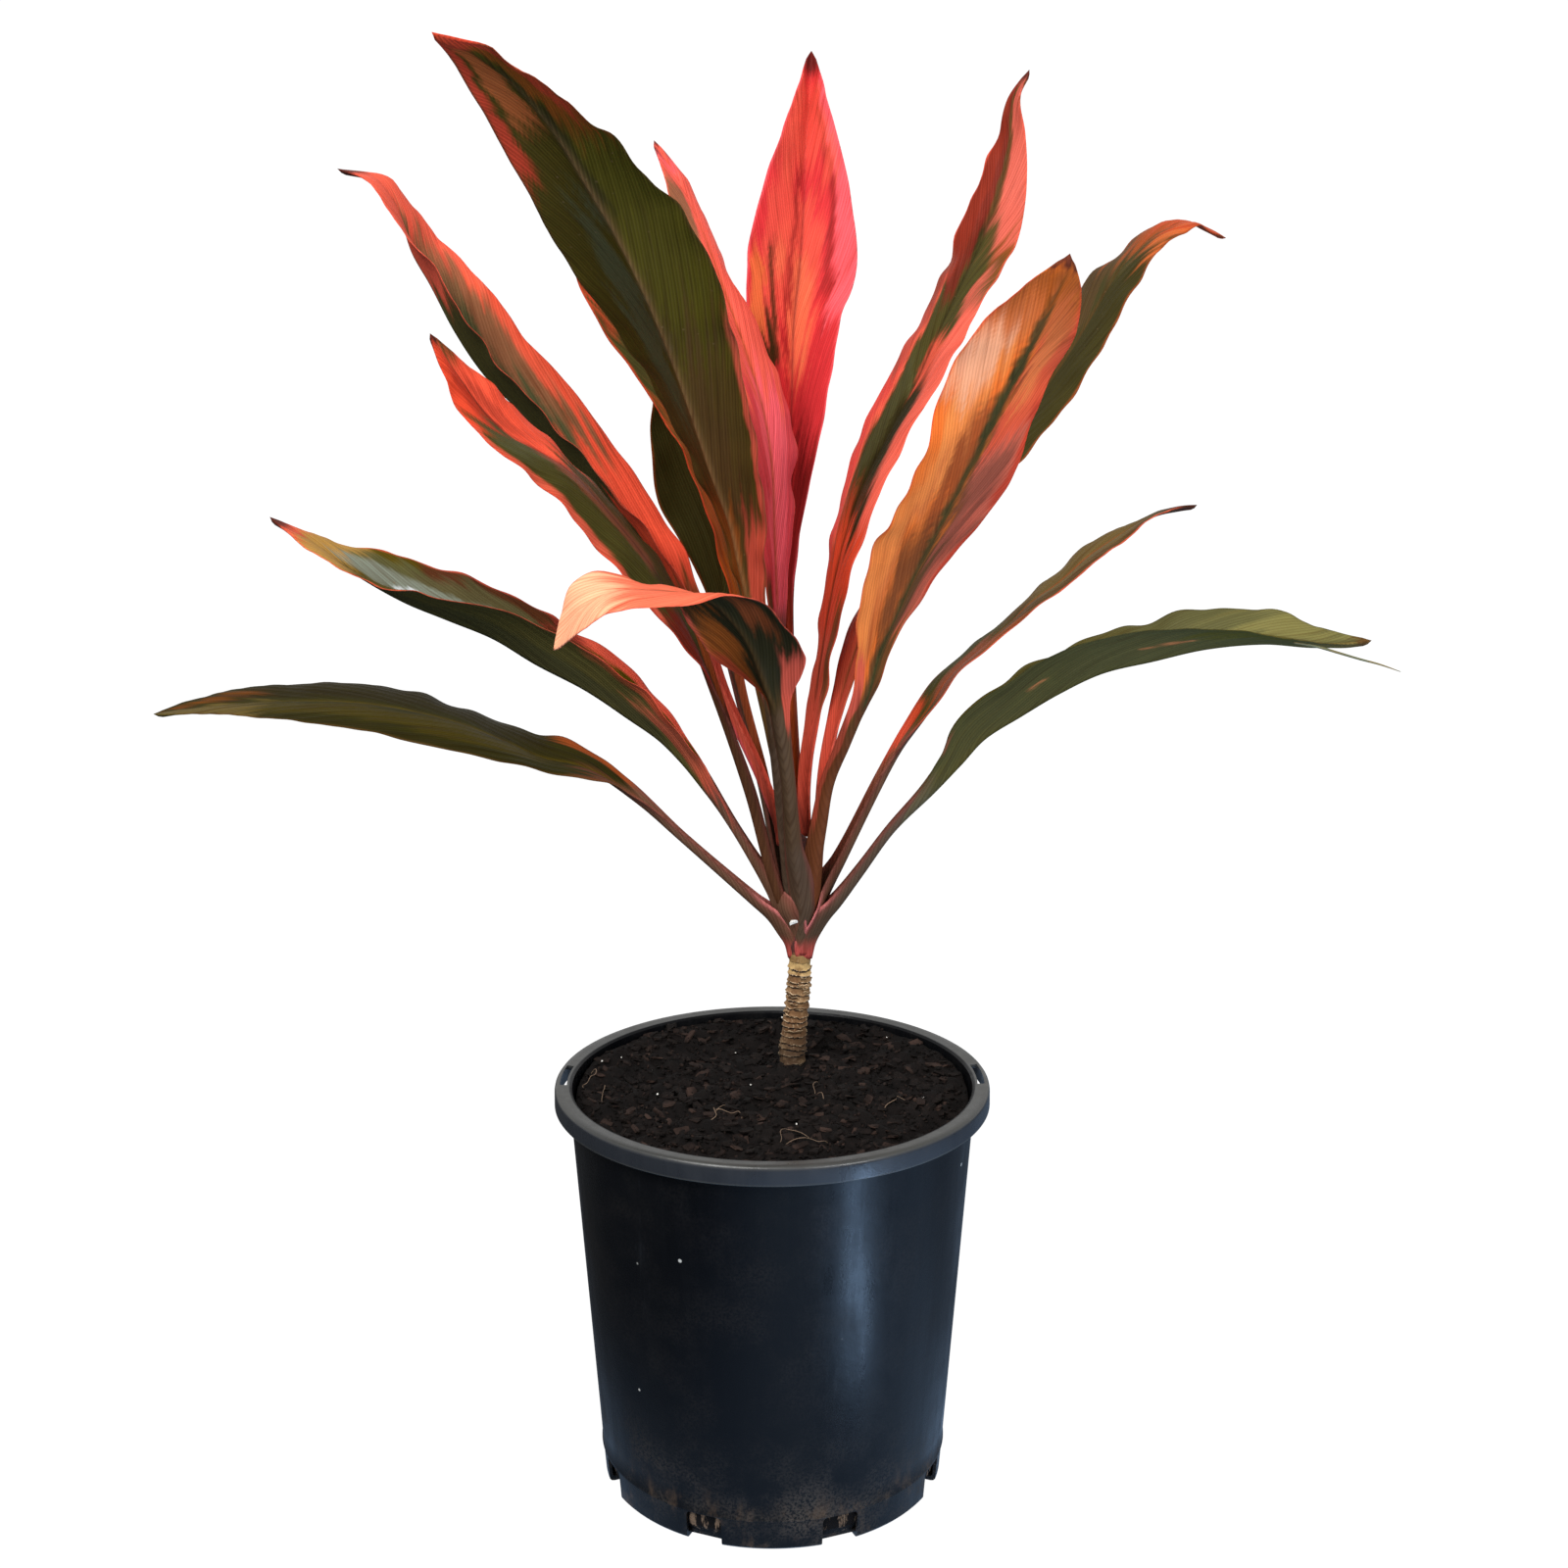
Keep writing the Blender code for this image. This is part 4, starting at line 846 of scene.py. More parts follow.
def leaf_paint(name, roughness):
    """Waxy leaf: the tint is painted on the points, with fine veins along the leaf in both
    colour and relief."""
    sizes = bpy.context.scene.plant_leaf
    paint = Paint(name)
    vein = paint.mark("vein", "Vector")
    tint = paint.mark("tint", "Color")
    under = paint.mark("under")
    pitch = 1.0 / (sizes.vein_pitch / MM)
    wave = paint.math("SINE", paint.times(paint.parts(vein)["X"], math.tau * pitch))
    fine = paint.drawn(vein, (pitch, 0.022, 1.0), 3.0)
    broad = paint.drawn(vein, (pitch * 0.22, 0.012, 1.0), 5.0, 0.6)
    mottle = paint.noise(paint.place, 55.0, 6.0, 0.62)
    deep = paint.mix(1.0, tint, DEEP_VEIN, "MULTIPLY")
    pale = paint.mix(1.0, tint, PALE_VEIN, "MULTIPLY")
    thinly = paint.ramp(paint.noise(paint.place, 18.0), 0.56, 0.66)
    speck = paint.times(paint.dots(190.0, 0.13, 0.05), thinly)
    tone = paint.coated(tint, (paint.ramp(fine, 0.50, 0.72, 0.0, 0.60), deep),
                        (paint.ramp(wave, 0.10, 0.95, 0.0, 0.36), deep),
                        (paint.ramp(fine, 0.40, 0.22, 0.0, 0.70), pale),
                        (paint.ramp(broad, 0.54, 0.78, 0.0, 0.50), deep),
                        (paint.ramp(mottle, 0.58, 0.80, 0.0, 0.30), pale),
                        (paint.times(speck, 0.45), LEAF_SPECK))
    tone = paint.mix(under, tone, paint.mix(0.03, tone, LEAF_BLOOM))
    raised = paint.bump(paint.plus(paint.times(wave, 0.35), fine), 0.40, 0.00035)
    raised = paint.bump(mottle, 0.12, 0.0012, raised)
    gloss = paint.plus(paint.ramp(mottle, 0.3, 0.7, roughness - 0.05, roughness + 0.07),
                       paint.times(under, 0.08))
    return paint.set(Base_Color=tone, Roughness=gloss, Normal=raised, Specular_IOR_Level=0.03)


def leaf_rows(name, along):
    """Rib points, directions, half width and lifts at each row from the sheath to the tip."""
    first, last, route = LEAVES[name]
    whole = SHEATHS[name] + route[SHEATHED_ROWS:] if name in SHEATHS else route
    end = knots(whole)[-1]
    reach = knots(route)[-1]
    seat = end - reach
    at = np.linspace(0.0, end, along + 1)
    run = heading_of(whole, at, reach * AIM_STEP)
    share_of = (at - seat) / reach
    turn = smooth((share_of - TURN_FROM) / (TURN_TO - TURN_FROM))
    bearing = np.radians(first + (last - first) * turn)
    side = np.stack([-np.sin(bearing), np.cos(bearing), 0.0 * bearing], 1)
    up = unit(np.cross(run, side))
    return at - seat, share_of, on_route(whole, at), run, np.cross(up, run), up


def washed(seed, tints, paint, leaf):
    """Colour of each point of a leaf from its washes, their borders broken along the veins."""
    s, t, under, half, vein, at = (leaf[k] for k in ("s", "t", "under", "half", "vein", "at"))
    ground, stalk, hem, rib, both, above, below = paint
    streak = rough(seed, vein / 2.6, at / 42.0 + 9.0, 3)
    patch = rough(seed + 11, vein / 9.0, at / 30.0 + 5.0, 3)
    thread = rough(seed + 17, vein / 0.9, at / 70.0 + 3.0, 2)
    frayed_along, frayed_across = (
        sum(weight * noise for weight, noise in zip(weights, (streak, patch, thread)))
        for weights in (FRAY_ALONG, FRAY_ACROSS))
    colours = np.tile(tints[ground], (len(s), 1))

    def lay(tone, cover):
        nonlocal colours
        colours += (tints[tone] - colours) * cover[:, None]

    low = 1.0 - smooth((s - 0.13) / 0.05)
    petiole = np.maximum((1.0 - smooth((half - 5.4 + streak) / 3.6)) * (s < 0.5), low)
    lay(stalk, petiole)
    lay("rosy", 0.6 * petiole * smooth((np.abs(t) - 0.45) / 0.45))
    for washes, face in ((both, 1.0), (above, 1.0 - under), (below, under)):
        for tone, near, far, right, left, strength, soft in washes:
            along_it = band(s + frayed_along * soft, near, far, SOFT_ALONG * soft)
            across_it = band(t + frayed_across * soft, right, left, SOFT_ACROSS * soft)
            lay(tone, along_it * across_it * strength * face)
    blade = smooth((half - BLADE_FROM) / 5.0) * (1.0 - low)
    x = np.abs(t) * half
    lay(rib, np.exp(-(x / 1.0) ** 2) * blade * (1.0 - smooth((s - 0.72) / 0.24)) * 0.75)
    inset = (1.0 - np.abs(t)) * half
    wide = leaf["margin"] * (0.7 + 1.1 * grain(seed + 23, at / 14.0 + 40.0, t * 2.0 + 4.0))
    lay(hem, smooth(1.25 - inset / wide) * blade * (s < 0.97) * 0.6)
    if leaf["sheathed"]:
        edge = smooth(1.30 - inset / (1.5 + 0.5 * streak)) * 0.9
        lay("blush", edge * (1.0 - smooth((leaf["height"] - 262.0) / 16.0)))
        lay("ruddy", 0.9 * (1.0 - smooth((leaf["height"] - 243.0 + 2.0 * streak) / 10.0)))
    colours *= (1.0 + 0.10 * rough(seed + 31, vein / 1.1, at / 26.0, 2) + 0.07 * patch)[:, None]
    return np.clip(colours, 0.0, 1.0)


def leaf_blade(name, sizes, tints):
    """One leaf with its stalk: a sheet rolled round the section and welded along its margin."""
    along = sizes.along
    seed = 100 * int(name[-2:])
    at, share_of, rows, run, side, up = leaf_rows(name, along)
    taper = np.sqrt(np.clip((1.0 - share_of) / TIP_TAPER, 0.0, 1.0))

    def relief(t, a, x, mm, half, hand, vein, blade):
        """How far the sheet is bent off its section by margin waves, pleats and dents."""
        swell = grain(seed + 3, mm / 60.0 + 7.0, hand * 3.0 + 9.0) * 1.5 + 0.2
        phase = seed + 1.7 * hand
        wave = (0.6 * np.sin(math.tau * mm / LONG_WAVE + phase)
                + 0.4 * np.sin(math.tau * mm / SHORT_WAVE + 2.3 * phase))
        bend = sizes.ripple / MM * a ** 2.4 * blade * swell * wave
        pleats = np.cos(math.tau * vein / (sizes.pleat_pitch / MM)) * smooth(x / 3)
        bend += sizes.pleat / MM * pleats * blade
        return bend + DENT * rough(seed + 5, mm / 17.0, t * half / 9.0 + 11.0, 2) * blade * a

    def place(u, v):
        row = np.rint(v * along).astype(int)
        turn = u * 4.0
        t = np.where(turn > 2.0, turn - 3.0, 1.0 - turn)
        under = np.where(np.abs(t) > 0.9999, 0.5, np.where(turn > 2.0, 1.0, 0.0))
        hand = np.where(t >= 0.0, 1.0, -1.0)
        a = 1.0 - (1.0 - np.abs(t)) ** CROWDING
        half = rows[row, 3] * taper[row]
        s = share_of[row]
        mm = at[row]
        x = a * half
        lift = np.radians(np.where(hand > 0, rows[row, 4], rows[row, 5]))
        blade = smooth((half - BLADE_FROM) / 6.0)
        clasp = (1.0 - smooth((mm - 12.0) / 28.0)) * (name in SHEATHS)
        fold = np.maximum(1.0 - 0.7 * smooth((half - BLADE_FROM) / 8.0), clasp)[:, None]
        h = hand[:, None]
        cos, sin = np.cos(lift)[:, None], np.sin(lift)[:, None]
        out = side[row] * h * cos + up[row] * sin
        normal = up[row] * cos - side[row] * h * sin
        leave = (out + SPLAY * normal) * (1.0 - fold) + side[row] * h * fold
        arrive = out - SPLAY * normal
        curl = 2.0 * np.sum(leave * out, 1)[:, None] * out - leave
        arrive += (curl - arrive) * clasp[:, None]
        b = a[:, None]
        cross = ((b ** 3 - 2 * b ** 2 + b) * leave + (3 * b ** 2 - 2 * b ** 3) * out
                 + (b ** 3 - b ** 2) * arrive) * half[:, None]
        lean = ((3 * b ** 2 - 4 * b + 1) * leave + (6 * b - 6 * b ** 2) * out
                + (3 * b ** 2 - 2 * b) * arrive)
        facing = unit(np.cross(run[row], lean * h))
        blend = smooth(a / 0.10)[:, None]
        facing = unit(up[row] * (1.0 - blend) + facing * blend)
        vein = (mm - x / math.tan(VEIN_LEAN)) * math.sin(VEIN_LEAN)
        bend = relief(t, a, x, mm, half, hand, vein, blade) * (1.0 - clasp)
        thick = ((STALK_THICK - STALK_THINS * a) * (1.0 - blade)
                 + (BLADE_THICK - BLADE_THINS * a) * blade)
        keel = (KEEL - s) * np.exp(-(x / KEEL_WIDTH) ** 2) * blade
        groove = GROOVE * np.exp(-(x / GROOVE_WIDTH) ** 2) * blade * (1.0 - s)
        rounded = np.sqrt(np.clip(1.0 - a ** MARGIN_POWER, 0.0, 1.0))
        above = -thick / 2 * (1.0 - rounded) - groove
        below = -thick / 2 * (1.0 + rounded) - keel * rounded
        shift = bend + np.where(under > 0.5, below, np.where(under < 0.5, above, -thick / 2))
        shift *= taper[row]
        points = (rows[row, :3] + cross + facing * shift[:, None]) * MM
        leaf = {"s": s, "t": hand * a, "under": under, "half": half, "vein": vein, "at": mm,
                "margin": sizes.margin / MM, "height": points[:, 2] / MM,
                "sheathed": name in SHEATHS}
        tint = np.concatenate([washed(seed, tints, PAINT[name], leaf), np.ones((len(s), 1))], 1)
        return points, {"tint": tint, "vein": np.stack([vein, mm, 0.0 * mm + seed], 1),
                        "under": under}

    return close_up(sheet_of_points(name, sizes.around, along, place))


def tube(name, route, around, along, relief=None, marks=None):
    """A closed tube along a route of x, y, z and radius, in millimetres."""
    at = np.linspace(0.0, knots(route)[-1], along + 1)
    rows = on_route(route, at)
    run = heading_of(route, at, TUBE_STEP)
    aside = np.where(np.abs(run[:, 2:3]) > 0.7, (1.0, 0.0, 0.0), (0.0, 0.0, 1.0))
    first = unit(np.cross(aside, run))
    second = np.cross(run, first)

    def place(u, v):
        row = np.rint(v * along).astype(int)
        angle = u * math.tau
        radius = rows[row, 3]
        if relief is not None:
            radius = radius + relief(angle % math.tau, rows[row, 2])
        seen = marks(angle % math.tau, rows[row, 2]) if marks is not None else {}
        out = first[row] * np.cos(angle)[:, None] + second[row] * np.sin(angle)[:, None]
        return (rows[row, :3] + out * radius[:, None]) * MM, seen

    return close_up(sheet_of_points(name, around, along, place))


def lathe(name, profile, sides):
    """A closed body of revolution: a disc whose face is pulled through radius and height."""
    start_clean()
    radius, height = profile[0]
    bpy.ops.mesh.primitive_circle_add(vertices=sides, radius=radius, fill_type="NGON",
                                      location=(0, 0, height))
    piece = bpy.context.active_object
    piece.name = name
    bpy.ops.object.transform_apply(location=True, rotation=True, scale=True)
    bpy.ops.object.mode_set(mode="EDIT")
    bpy.ops.mesh.select_mode(type="FACE")
    bpy.ops.mesh.select_all(action="SELECT")
    for (was, low), (now, high) in zip(profile, profile[1:]):
        bpy.ops.mesh.extrude_region_move(TRANSFORM_OT_translate={"value": (0, 0, high - low)})
        bpy.ops.transform.resize(value=(now / was, now / was, 1.0), center_override=(0, 0, 0))
    bpy.ops.mesh.select_all(action="SELECT")
    bpy.ops.mesh.normals_make_consistent(inside=False)
    bpy.ops.object.mode_set(mode="OBJECT")
    return piece


def cut_out(piece, cutter):
    """Takes the cutter out of the piece and removes the cutter."""
    choose(piece)
    knife = piece.modifiers.new("cut", "BOOLEAN")
    knife.operation = "DIFFERENCE"
    knife.object = cutter
    bpy.ops.object.modifier_apply(modifier=knife.name)
    bpy.data.objects.remove(cutter, do_unlink=True)


def joined(name, pieces):
    """Several objects made one."""
    start_clean()
    for piece in pieces:
        piece.select_set(True)
    bpy.context.view_layer.objects.active = pieces[0]
    bpy.ops.object.join()
    pieces[0].name = name
    return pieces[0]


def scattered(name, models, places, tones):
    """Copies of the models, each with its own mesh and tone, at the given matrices."""
    copies = []
    for i, (matrix, tone) in enumerate(zip(places, tones)):
        mesh = models[i % len(models)].data.copy()
        mesh.transform(matrix)
        worth = mesh.attributes.new("tone", "FLOAT", "POINT")
        worth.data.foreach_set("value", [tone] * len(mesh.vertices))
        copy = bpy.data.objects.new(name, mesh)
        bpy.context.scene.collection.objects.link(copy)
        copies.append(copy)
    for model in models:
        bpy.data.objects.remove(model, do_unlink=True)
    return joined(name, copies)


def crumb_models(count_of, boxy):
    """Unlike crumbs one unit long: bevelled blocks or pebbles with their points shaken."""
    models = []
    for i in range(count_of):
        start_clean()
        if boxy:
            bpy.ops.mesh.primitive_cube_add(size=1.0, location=(0, 0, 0))
        else:
            bpy.ops.mesh.primitive_ico_sphere_add(subdivisions=1, radius=0.5, location=(0, 0, 0))
        models.append(bpy.context.active_object)
        bpy.ops.object.mode_set(mode="EDIT")
        bpy.ops.mesh.select_all(action="SELECT")
        if boxy:
            bpy.ops.mesh.bevel(offset=0.16, segments=1)
        bpy.ops.transform.vertex_random(offset=0.13, uniform=1.0, seed=i + 3)
        bpy.ops.object.mode_set(mode="OBJECT")
    return models


def tilted(place, heading, lean, spin, size):
    """A matrix that sizes, leans and turns a copy and puts it in its place."""
    matrix = Matrix.Translation(place) @ Matrix.Rotation(heading, 4, "Z")
    matrix = matrix @ Matrix.Rotation(lean, 4, "Y") @ Matrix.Rotation(spin, 4, "X")
    return matrix @ Matrix.Diagonal((*size, 1.0))


def aimed(direction):
    """The turn that points a light along the direction."""
    return Vector(direction).to_track_quat("-Z", "Y").to_euler()


def placed(name, data, place, turned):
    """Adds a light or camera to the scene at its place."""
    thing = bpy.data.objects.new(name, data)
    thing.location = place
    thing.rotation_euler = turned
    bpy.context.scene.collection.objects.link(thing)
    return thing


def lamp(name, kind, energy, place, turned, **settings):
    """Adds a light."""
    light = bpy.data.lights.new(name, kind)
    light.energy = energy
    for key, value in settings.items():
        setattr(light, key, value)
    placed(name, light, place, turned)


class PLANT_OT_stage(bpy.types.Operator):
    """Adds the floor, the soft light and the camera"""
    bl_idname = "plant.stage"
    bl_label = "Stage"

    def execute(self, context):
        look = context.scene.plant_stage
        self.lay_floor(context, look)
        self.fill_sky(context, look)
        lamp("sun", "SUN", look.sun, (0, 0, 0), aimed(SUN_AIM),
             angle=math.radians(look.sun_spread))
        lamp("card", "AREA", look.card, CARD_PLACE, CARD_TURN, shape="RECTANGLE",
             size=CARD_SIZE[0], size_y=CARD_SIZE[1], color=look.cool)
        lamp("fill", "AREA", look.fill, FILL_PLACE, aimed(FILL_AIM), shape="RECTANGLE",
             size=FILL_SIZE[0], size_y=FILL_SIZE[1])
        lens = bpy.data.cameras.new("camera")
        lens.sensor_width = SENSOR
        lens.lens = CAMERA_FOCAL_PIXELS / PHOTO_PIXELS * SENSOR
        lens.clip_start = 0.05
        context.scene.camera = placed("camera", lens, CAMERA_PLACE,
                                      (math.radians(90.0 - CAMERA_PITCH), 0.0, 0.0))
        context.scene.view_settings.view_transform = "Standard"
        context.scene.view_settings.look = "None"
        return {"FINISHED"}

    def lay_floor(self, context, look):
        """White to the camera, and a cool light that fades towards the left to all other rays."""
        start_clean()
        bpy.ops.mesh.primitive_circle_add(vertices=96, radius=FLOOR_RADIUS, fill_type="NGON",
                                          location=(0, 0, 0))
        floor = context.active_object
        floor.name = "floor"
        paint = Paint("floor")
        seen = paint.node("LightPath").outputs["Is Camera Ray"]
        place = paint.parts(paint.place)
        low = paint.times(paint.ramp(place["X"], *LEFT_TO_RIGHT, look.left, look.right),
                          *(paint.ramp(place[axis], *fade) for axis, *fade in FLOOR_FADES))
        floor.data.materials.append(paint.set(
            Base_Color=(*look.floor, 1.0), Roughness=0.9, Specular_IOR_Level=0.1,
            Emission_Color=paint.mix(seen, look.cool, (1.0, 1.0, 1.0)),
            Emission_Strength=paint.blend(seen, low, look.glow)))

    def fill_sky(self, context, look):
        """An even light from all round, a little brighter where the camera sees it."""
        world = bpy.data.worlds.new("studio")
        context.scene.world = world
        world.use_nodes = True
        tree = world.node_tree
        sky = tree.nodes["Background"]
        sky.inputs["Color"].default_value = (*look.sky, 1.0)
        fall = tree.nodes.new("ShaderNodeMapRange")
        fall.inputs["To Min"].default_value = look.dome
        fall.inputs["To Max"].default_value = SEEN_SKY
        tree.links.new(tree.nodes.new("ShaderNodeLightPath").outputs["Is Camera Ray"],
                       fall.inputs["Value"])
        tree.links.new(fall.outputs["Result"], sky.inputs["Strength"])


class PLANT_OT_pot(bpy.types.Operator):
    """Turns the nursery pot, with its rim, skirt, drainage notches and rim slots"""
    bl_idname = "plant.pot"
    bl_label = "Pot"

    def execute(self, context):
        pot = context.scene.plant_pot
        piece = lathe("pot_moulding", self.profile(pot), pot.sides)
        for i in range(pot.notches):
            cut_out(piece, self.notch_cutter(pot, FIRST_NOTCH + i * math.tau / pot.notches))
        for start in RIM_SLOTS:
            cut_out(piece, self.slot_cutter(pot.height, math.radians(start + SLOT_SWEEP / 2)))
        choose(piece)
        bpy.ops.object.shade_smooth_by_angle(angle=SHARP_FROM)
        finish_piece(piece, self.plastic(pot), ("pot",))
        return {"FINISHED"}

    def profile(self, pot):
        """Radius and height from under the floor, up the outside and down to the inner floor."""
        top, rim, foot, thick = pot.height, pot.rim_radius, pot.foot_radius, pot.wall
        skirt_foot = top - pot.skirt
        under = top - 0.0022
        ridge = FOOT_RIDGE
        outer_rows, inner_rows = 22, 8

        def wall_at(height):
            return foot + (pot.wall_top_radius - foot) * height / skirt_foot

        rows = [(foot - 0.0022, 0.0), (foot - 0.0009, 0.0003), (foot, 0.0013),
                (wall_at(ridge - 0.0012), ridge - 0.0012),
                (wall_at(ridge) + 0.0005, ridge - 0.0005),
                (wall_at(ridge) + 0.0005, ridge + 0.0005),
                (wall_at(ridge + 0.0012), ridge + 0.0012)]
        for i in range(1, outer_rows):
            height = ridge + 0.0012 + (top - 0.0042 - ridge) * i / outer_rows
            rows.append((wall_at(height), height))
        rows += [(wall_at(under) + 0.0002, under - 0.0009), (wall_at(under) + 0.0011, under),
                 (rim - 0.0022, under), (rim - 0.0016, under - 0.0006),
                 (rim - 0.0015, skirt_foot + 0.0004), (rim - 0.0011, skirt_foot),
                 (rim - 0.0003, skirt_foot), (rim, skirt_foot + 0.0004),
                 (rim - 0.0001, top - 0.0022), (rim - 0.0003, top - 0.0011),
                 (rim - 0.0008, top - 0.0004), (rim - 0.0016, top),
                 (rim - 0.0034, top - 0.0001), (wall_at(top) + 0.0012, top - 0.0002),
                 (wall_at(top) - thick + 0.0008, top - 0.0003),
                 (wall_at(top) - thick, top - 0.0012)]
        for i in range(1, inner_rows):
            height = top - 0.0012 - (top - 0.004) * i / inner_rows
            rows.append((wall_at(height) - thick, height))
        return rows + [(wall_at(0.003) - thick, 0.003), (wall_at(0.002) - thick - 0.0012, 0.002),
                       (0.004, 0.002)]

    def notch_cutter(self, pot, bearing):
        """A block across the wall at the foot, with its two upper edges rounded."""
        tall = pot.notch_height + 0.004
        start_clean()
        bpy.ops.mesh.primitive_cube_add(
            size=1.0, rotation=(0, 0, bearing), scale=(0.012, pot.notch_width, tall),
            location=(NOTCH_OUT * math.cos(bearing), NOTCH_OUT * math.sin(bearing),
                      pot.notch_height - tall / 2))
        cutter = bpy.context.active_object
        bpy.ops.object.transform_apply(location=False, rotation=False, scale=True)
        points = cutter.data.vertices
        for thing in (*points, *cutter.data.polygons):
            thing.select = False
        for edge in cutter.data.edges:
            ends = [points[k] for k in edge.vertices]
            upper = all(end.co.z > 0 for end in ends)
            edge.select = upper and abs(ends[0].co.x - ends[1].co.x) > 0.01
            for end in ends:
                end.select = end.select or edge.select
        bpy.ops.object.mode_set(mode="EDIT")
        bpy.ops.mesh.select_mode(type="EDGE")
        bpy.ops.mesh.bevel(offset=0.0028, segments=4)
        bpy.ops.object.mode_set(mode="OBJECT")
        bpy.ops.object.transform_apply(location=True, rotation=True, scale=True)
        return cutter

    def slot_cutter(self, top, bearing):
        """A short arc of rectangular section that passes through the rim."""
        start_clean()
        bpy.ops.mesh.primitive_plane_add(
            size=1.0, rotation=(math.radians(90.0), 0, bearing),
            location=(SLOT_OUT * math.cos(bearing), SLOT_OUT * math.sin(bearing), top))
        cutter = bpy.context.active_object
        cutter.scale = (*SLOT_SECTION, 1.0)
        bpy.ops.object.transform_apply(location=True, rotation=True, scale=True)
        bpy.ops.object.mode_set(mode="EDIT")
        bpy.ops.mesh.select_all(action="SELECT")
        bpy.ops.mesh.spin(steps=12, angle=math.radians(SLOT_SWEEP), center=(0, 0, 0),
                          axis=(0, 0, 1))
        bpy.ops.mesh.select_all(action="SELECT")
        bpy.ops.mesh.remove_doubles(threshold=1e-6)
        bpy.ops.mesh.normals_make_consistent(inside=False)
        bpy.ops.object.mode_set(mode="OBJECT")
        return cutter

    def plastic(self, pot):
        """Black moulded plastic, dusty at the foot, with scuffs and stray white specks, and painted
        light on the rim's top and along the skirt's lower edge.
        """
        paint = Paint("pot_plastic")
        place = paint.place
        across, height = paint.parts(place)["Y"], paint.parts(place)["Z"]
        skirt_foot = pot.height - pot.skirt
        cloud = paint.noise(place, 34.0, 8.0, 0.6)
        grit = paint.noise(place, 900.0, 3.0, 0.6)
        scuff = paint.drawn(place, (60.0, 60.0, 7.0), 7.0, 0.7)
        tinge = paint.drawn(place, (26.0, 26.0, 2.2), 4.0, 0.6)
        smear = paint.drawn(place, (75.0, 75.0, 38.0), 7.0, 0.68)
        streak = paint.drawn(place, (170.0, 170.0, 7.0), 5.0, 0.65)
        low = paint.plus(paint.times(paint.ramp(height, 0.060, 0.004), 0.75), 0.10)
        dust = paint.times(low, paint.ramp(cloud, 0.38, 0.72), paint.ramp(grit, 0.35, 0.62))
        outward = paint.node("VectorMath", {0: paint.scaled(place, (1.0, 1.0, 0.0))},
                             operation="LENGTH").outputs["Value"]
        outer = paint.ramp(outward, 0.0931, 0.0935)
        skirt = paint.times(outer, paint.ramp(height, skirt_foot - 0.0006, skirt_foot - 0.0002))
        lip = paint.ramp(height, pot.height - 0.0016, pot.height - 0.0006)
        hem = paint.times(skirt, paint.ramp(height, skirt_foot + 0.0011, skirt_foot + 0.0003))
        # Painted light: the rim's top and a thin line along the skirt's lower edge get a paler
        # colour for the light they catch, broken up by the cloud noise.
        ring_wear_and_lit_rim = paint.times(paint.math("MAXIMUM", paint.times(lip, outer), hem),
                           paint.ramp(cloud, 0.30, 0.62, 0.70, 1.0))
        rare = paint.ramp(paint.noise(place, 27.0, 2.0), 0.59, 0.63)
        stained = paint.times(paint.ramp(height, 0.034, 0.012), paint.ramp(smear, 0.52, 0.70),
                              paint.ramp(across, 0.09, -0.02, 0.25, 0.6))
        tone = paint.coated(
            pot.black, (paint.ramp(tinge, 0.35, 0.68), POT_TINGE),
            (paint.times(dust, 0.62), pot.dust),
            (paint.times(paint.ramp(scuff, 0.60, 0.74), 0.16), POT_SCUFF), (skirt, pot.skirting),
            (ring_wear_and_lit_rim, pot.lit_rim_grey), (paint.times(paint.dots(70.0, 0.075, 0.045), rare, 0.8), POT_SPECK),
            (stained, pot.mud))
        dull = paint.plus(paint.ramp(cloud, 0.3, 0.7, pot.roughness - 0.04, pot.roughness + 0.08),
                          paint.times(dust, 0.4))
        raised = paint.bump(grit, 0.10, 0.00035)
        raised = paint.bump(cloud, 0.22, 0.0015, raised)
        return paint.set(Base_Color=tone, Normal=raised,
                         Roughness=paint.plus(dull, paint.ramp(streak, 0.35, 0.65, -0.04, 0.06)),
                         Specular_IOR_Level=paint.blend(skirt, 0.15, 0.45))


def lump(x, y):
    """Height of the crumbly top in millimetres, from three waves that never line up."""
    coarse = np.sin(0.19 * x + 0.7) * np.cos(0.23 * y - 0.4)
    middle = np.sin(0.41 * x - 0.33 * y + 1.9)
    fine = np.cos(0.62 * y + 0.37 * x + 0.6)
    return 1.3 * (0.9 * coarse + 0.6 * middle + 0.5 * fine)


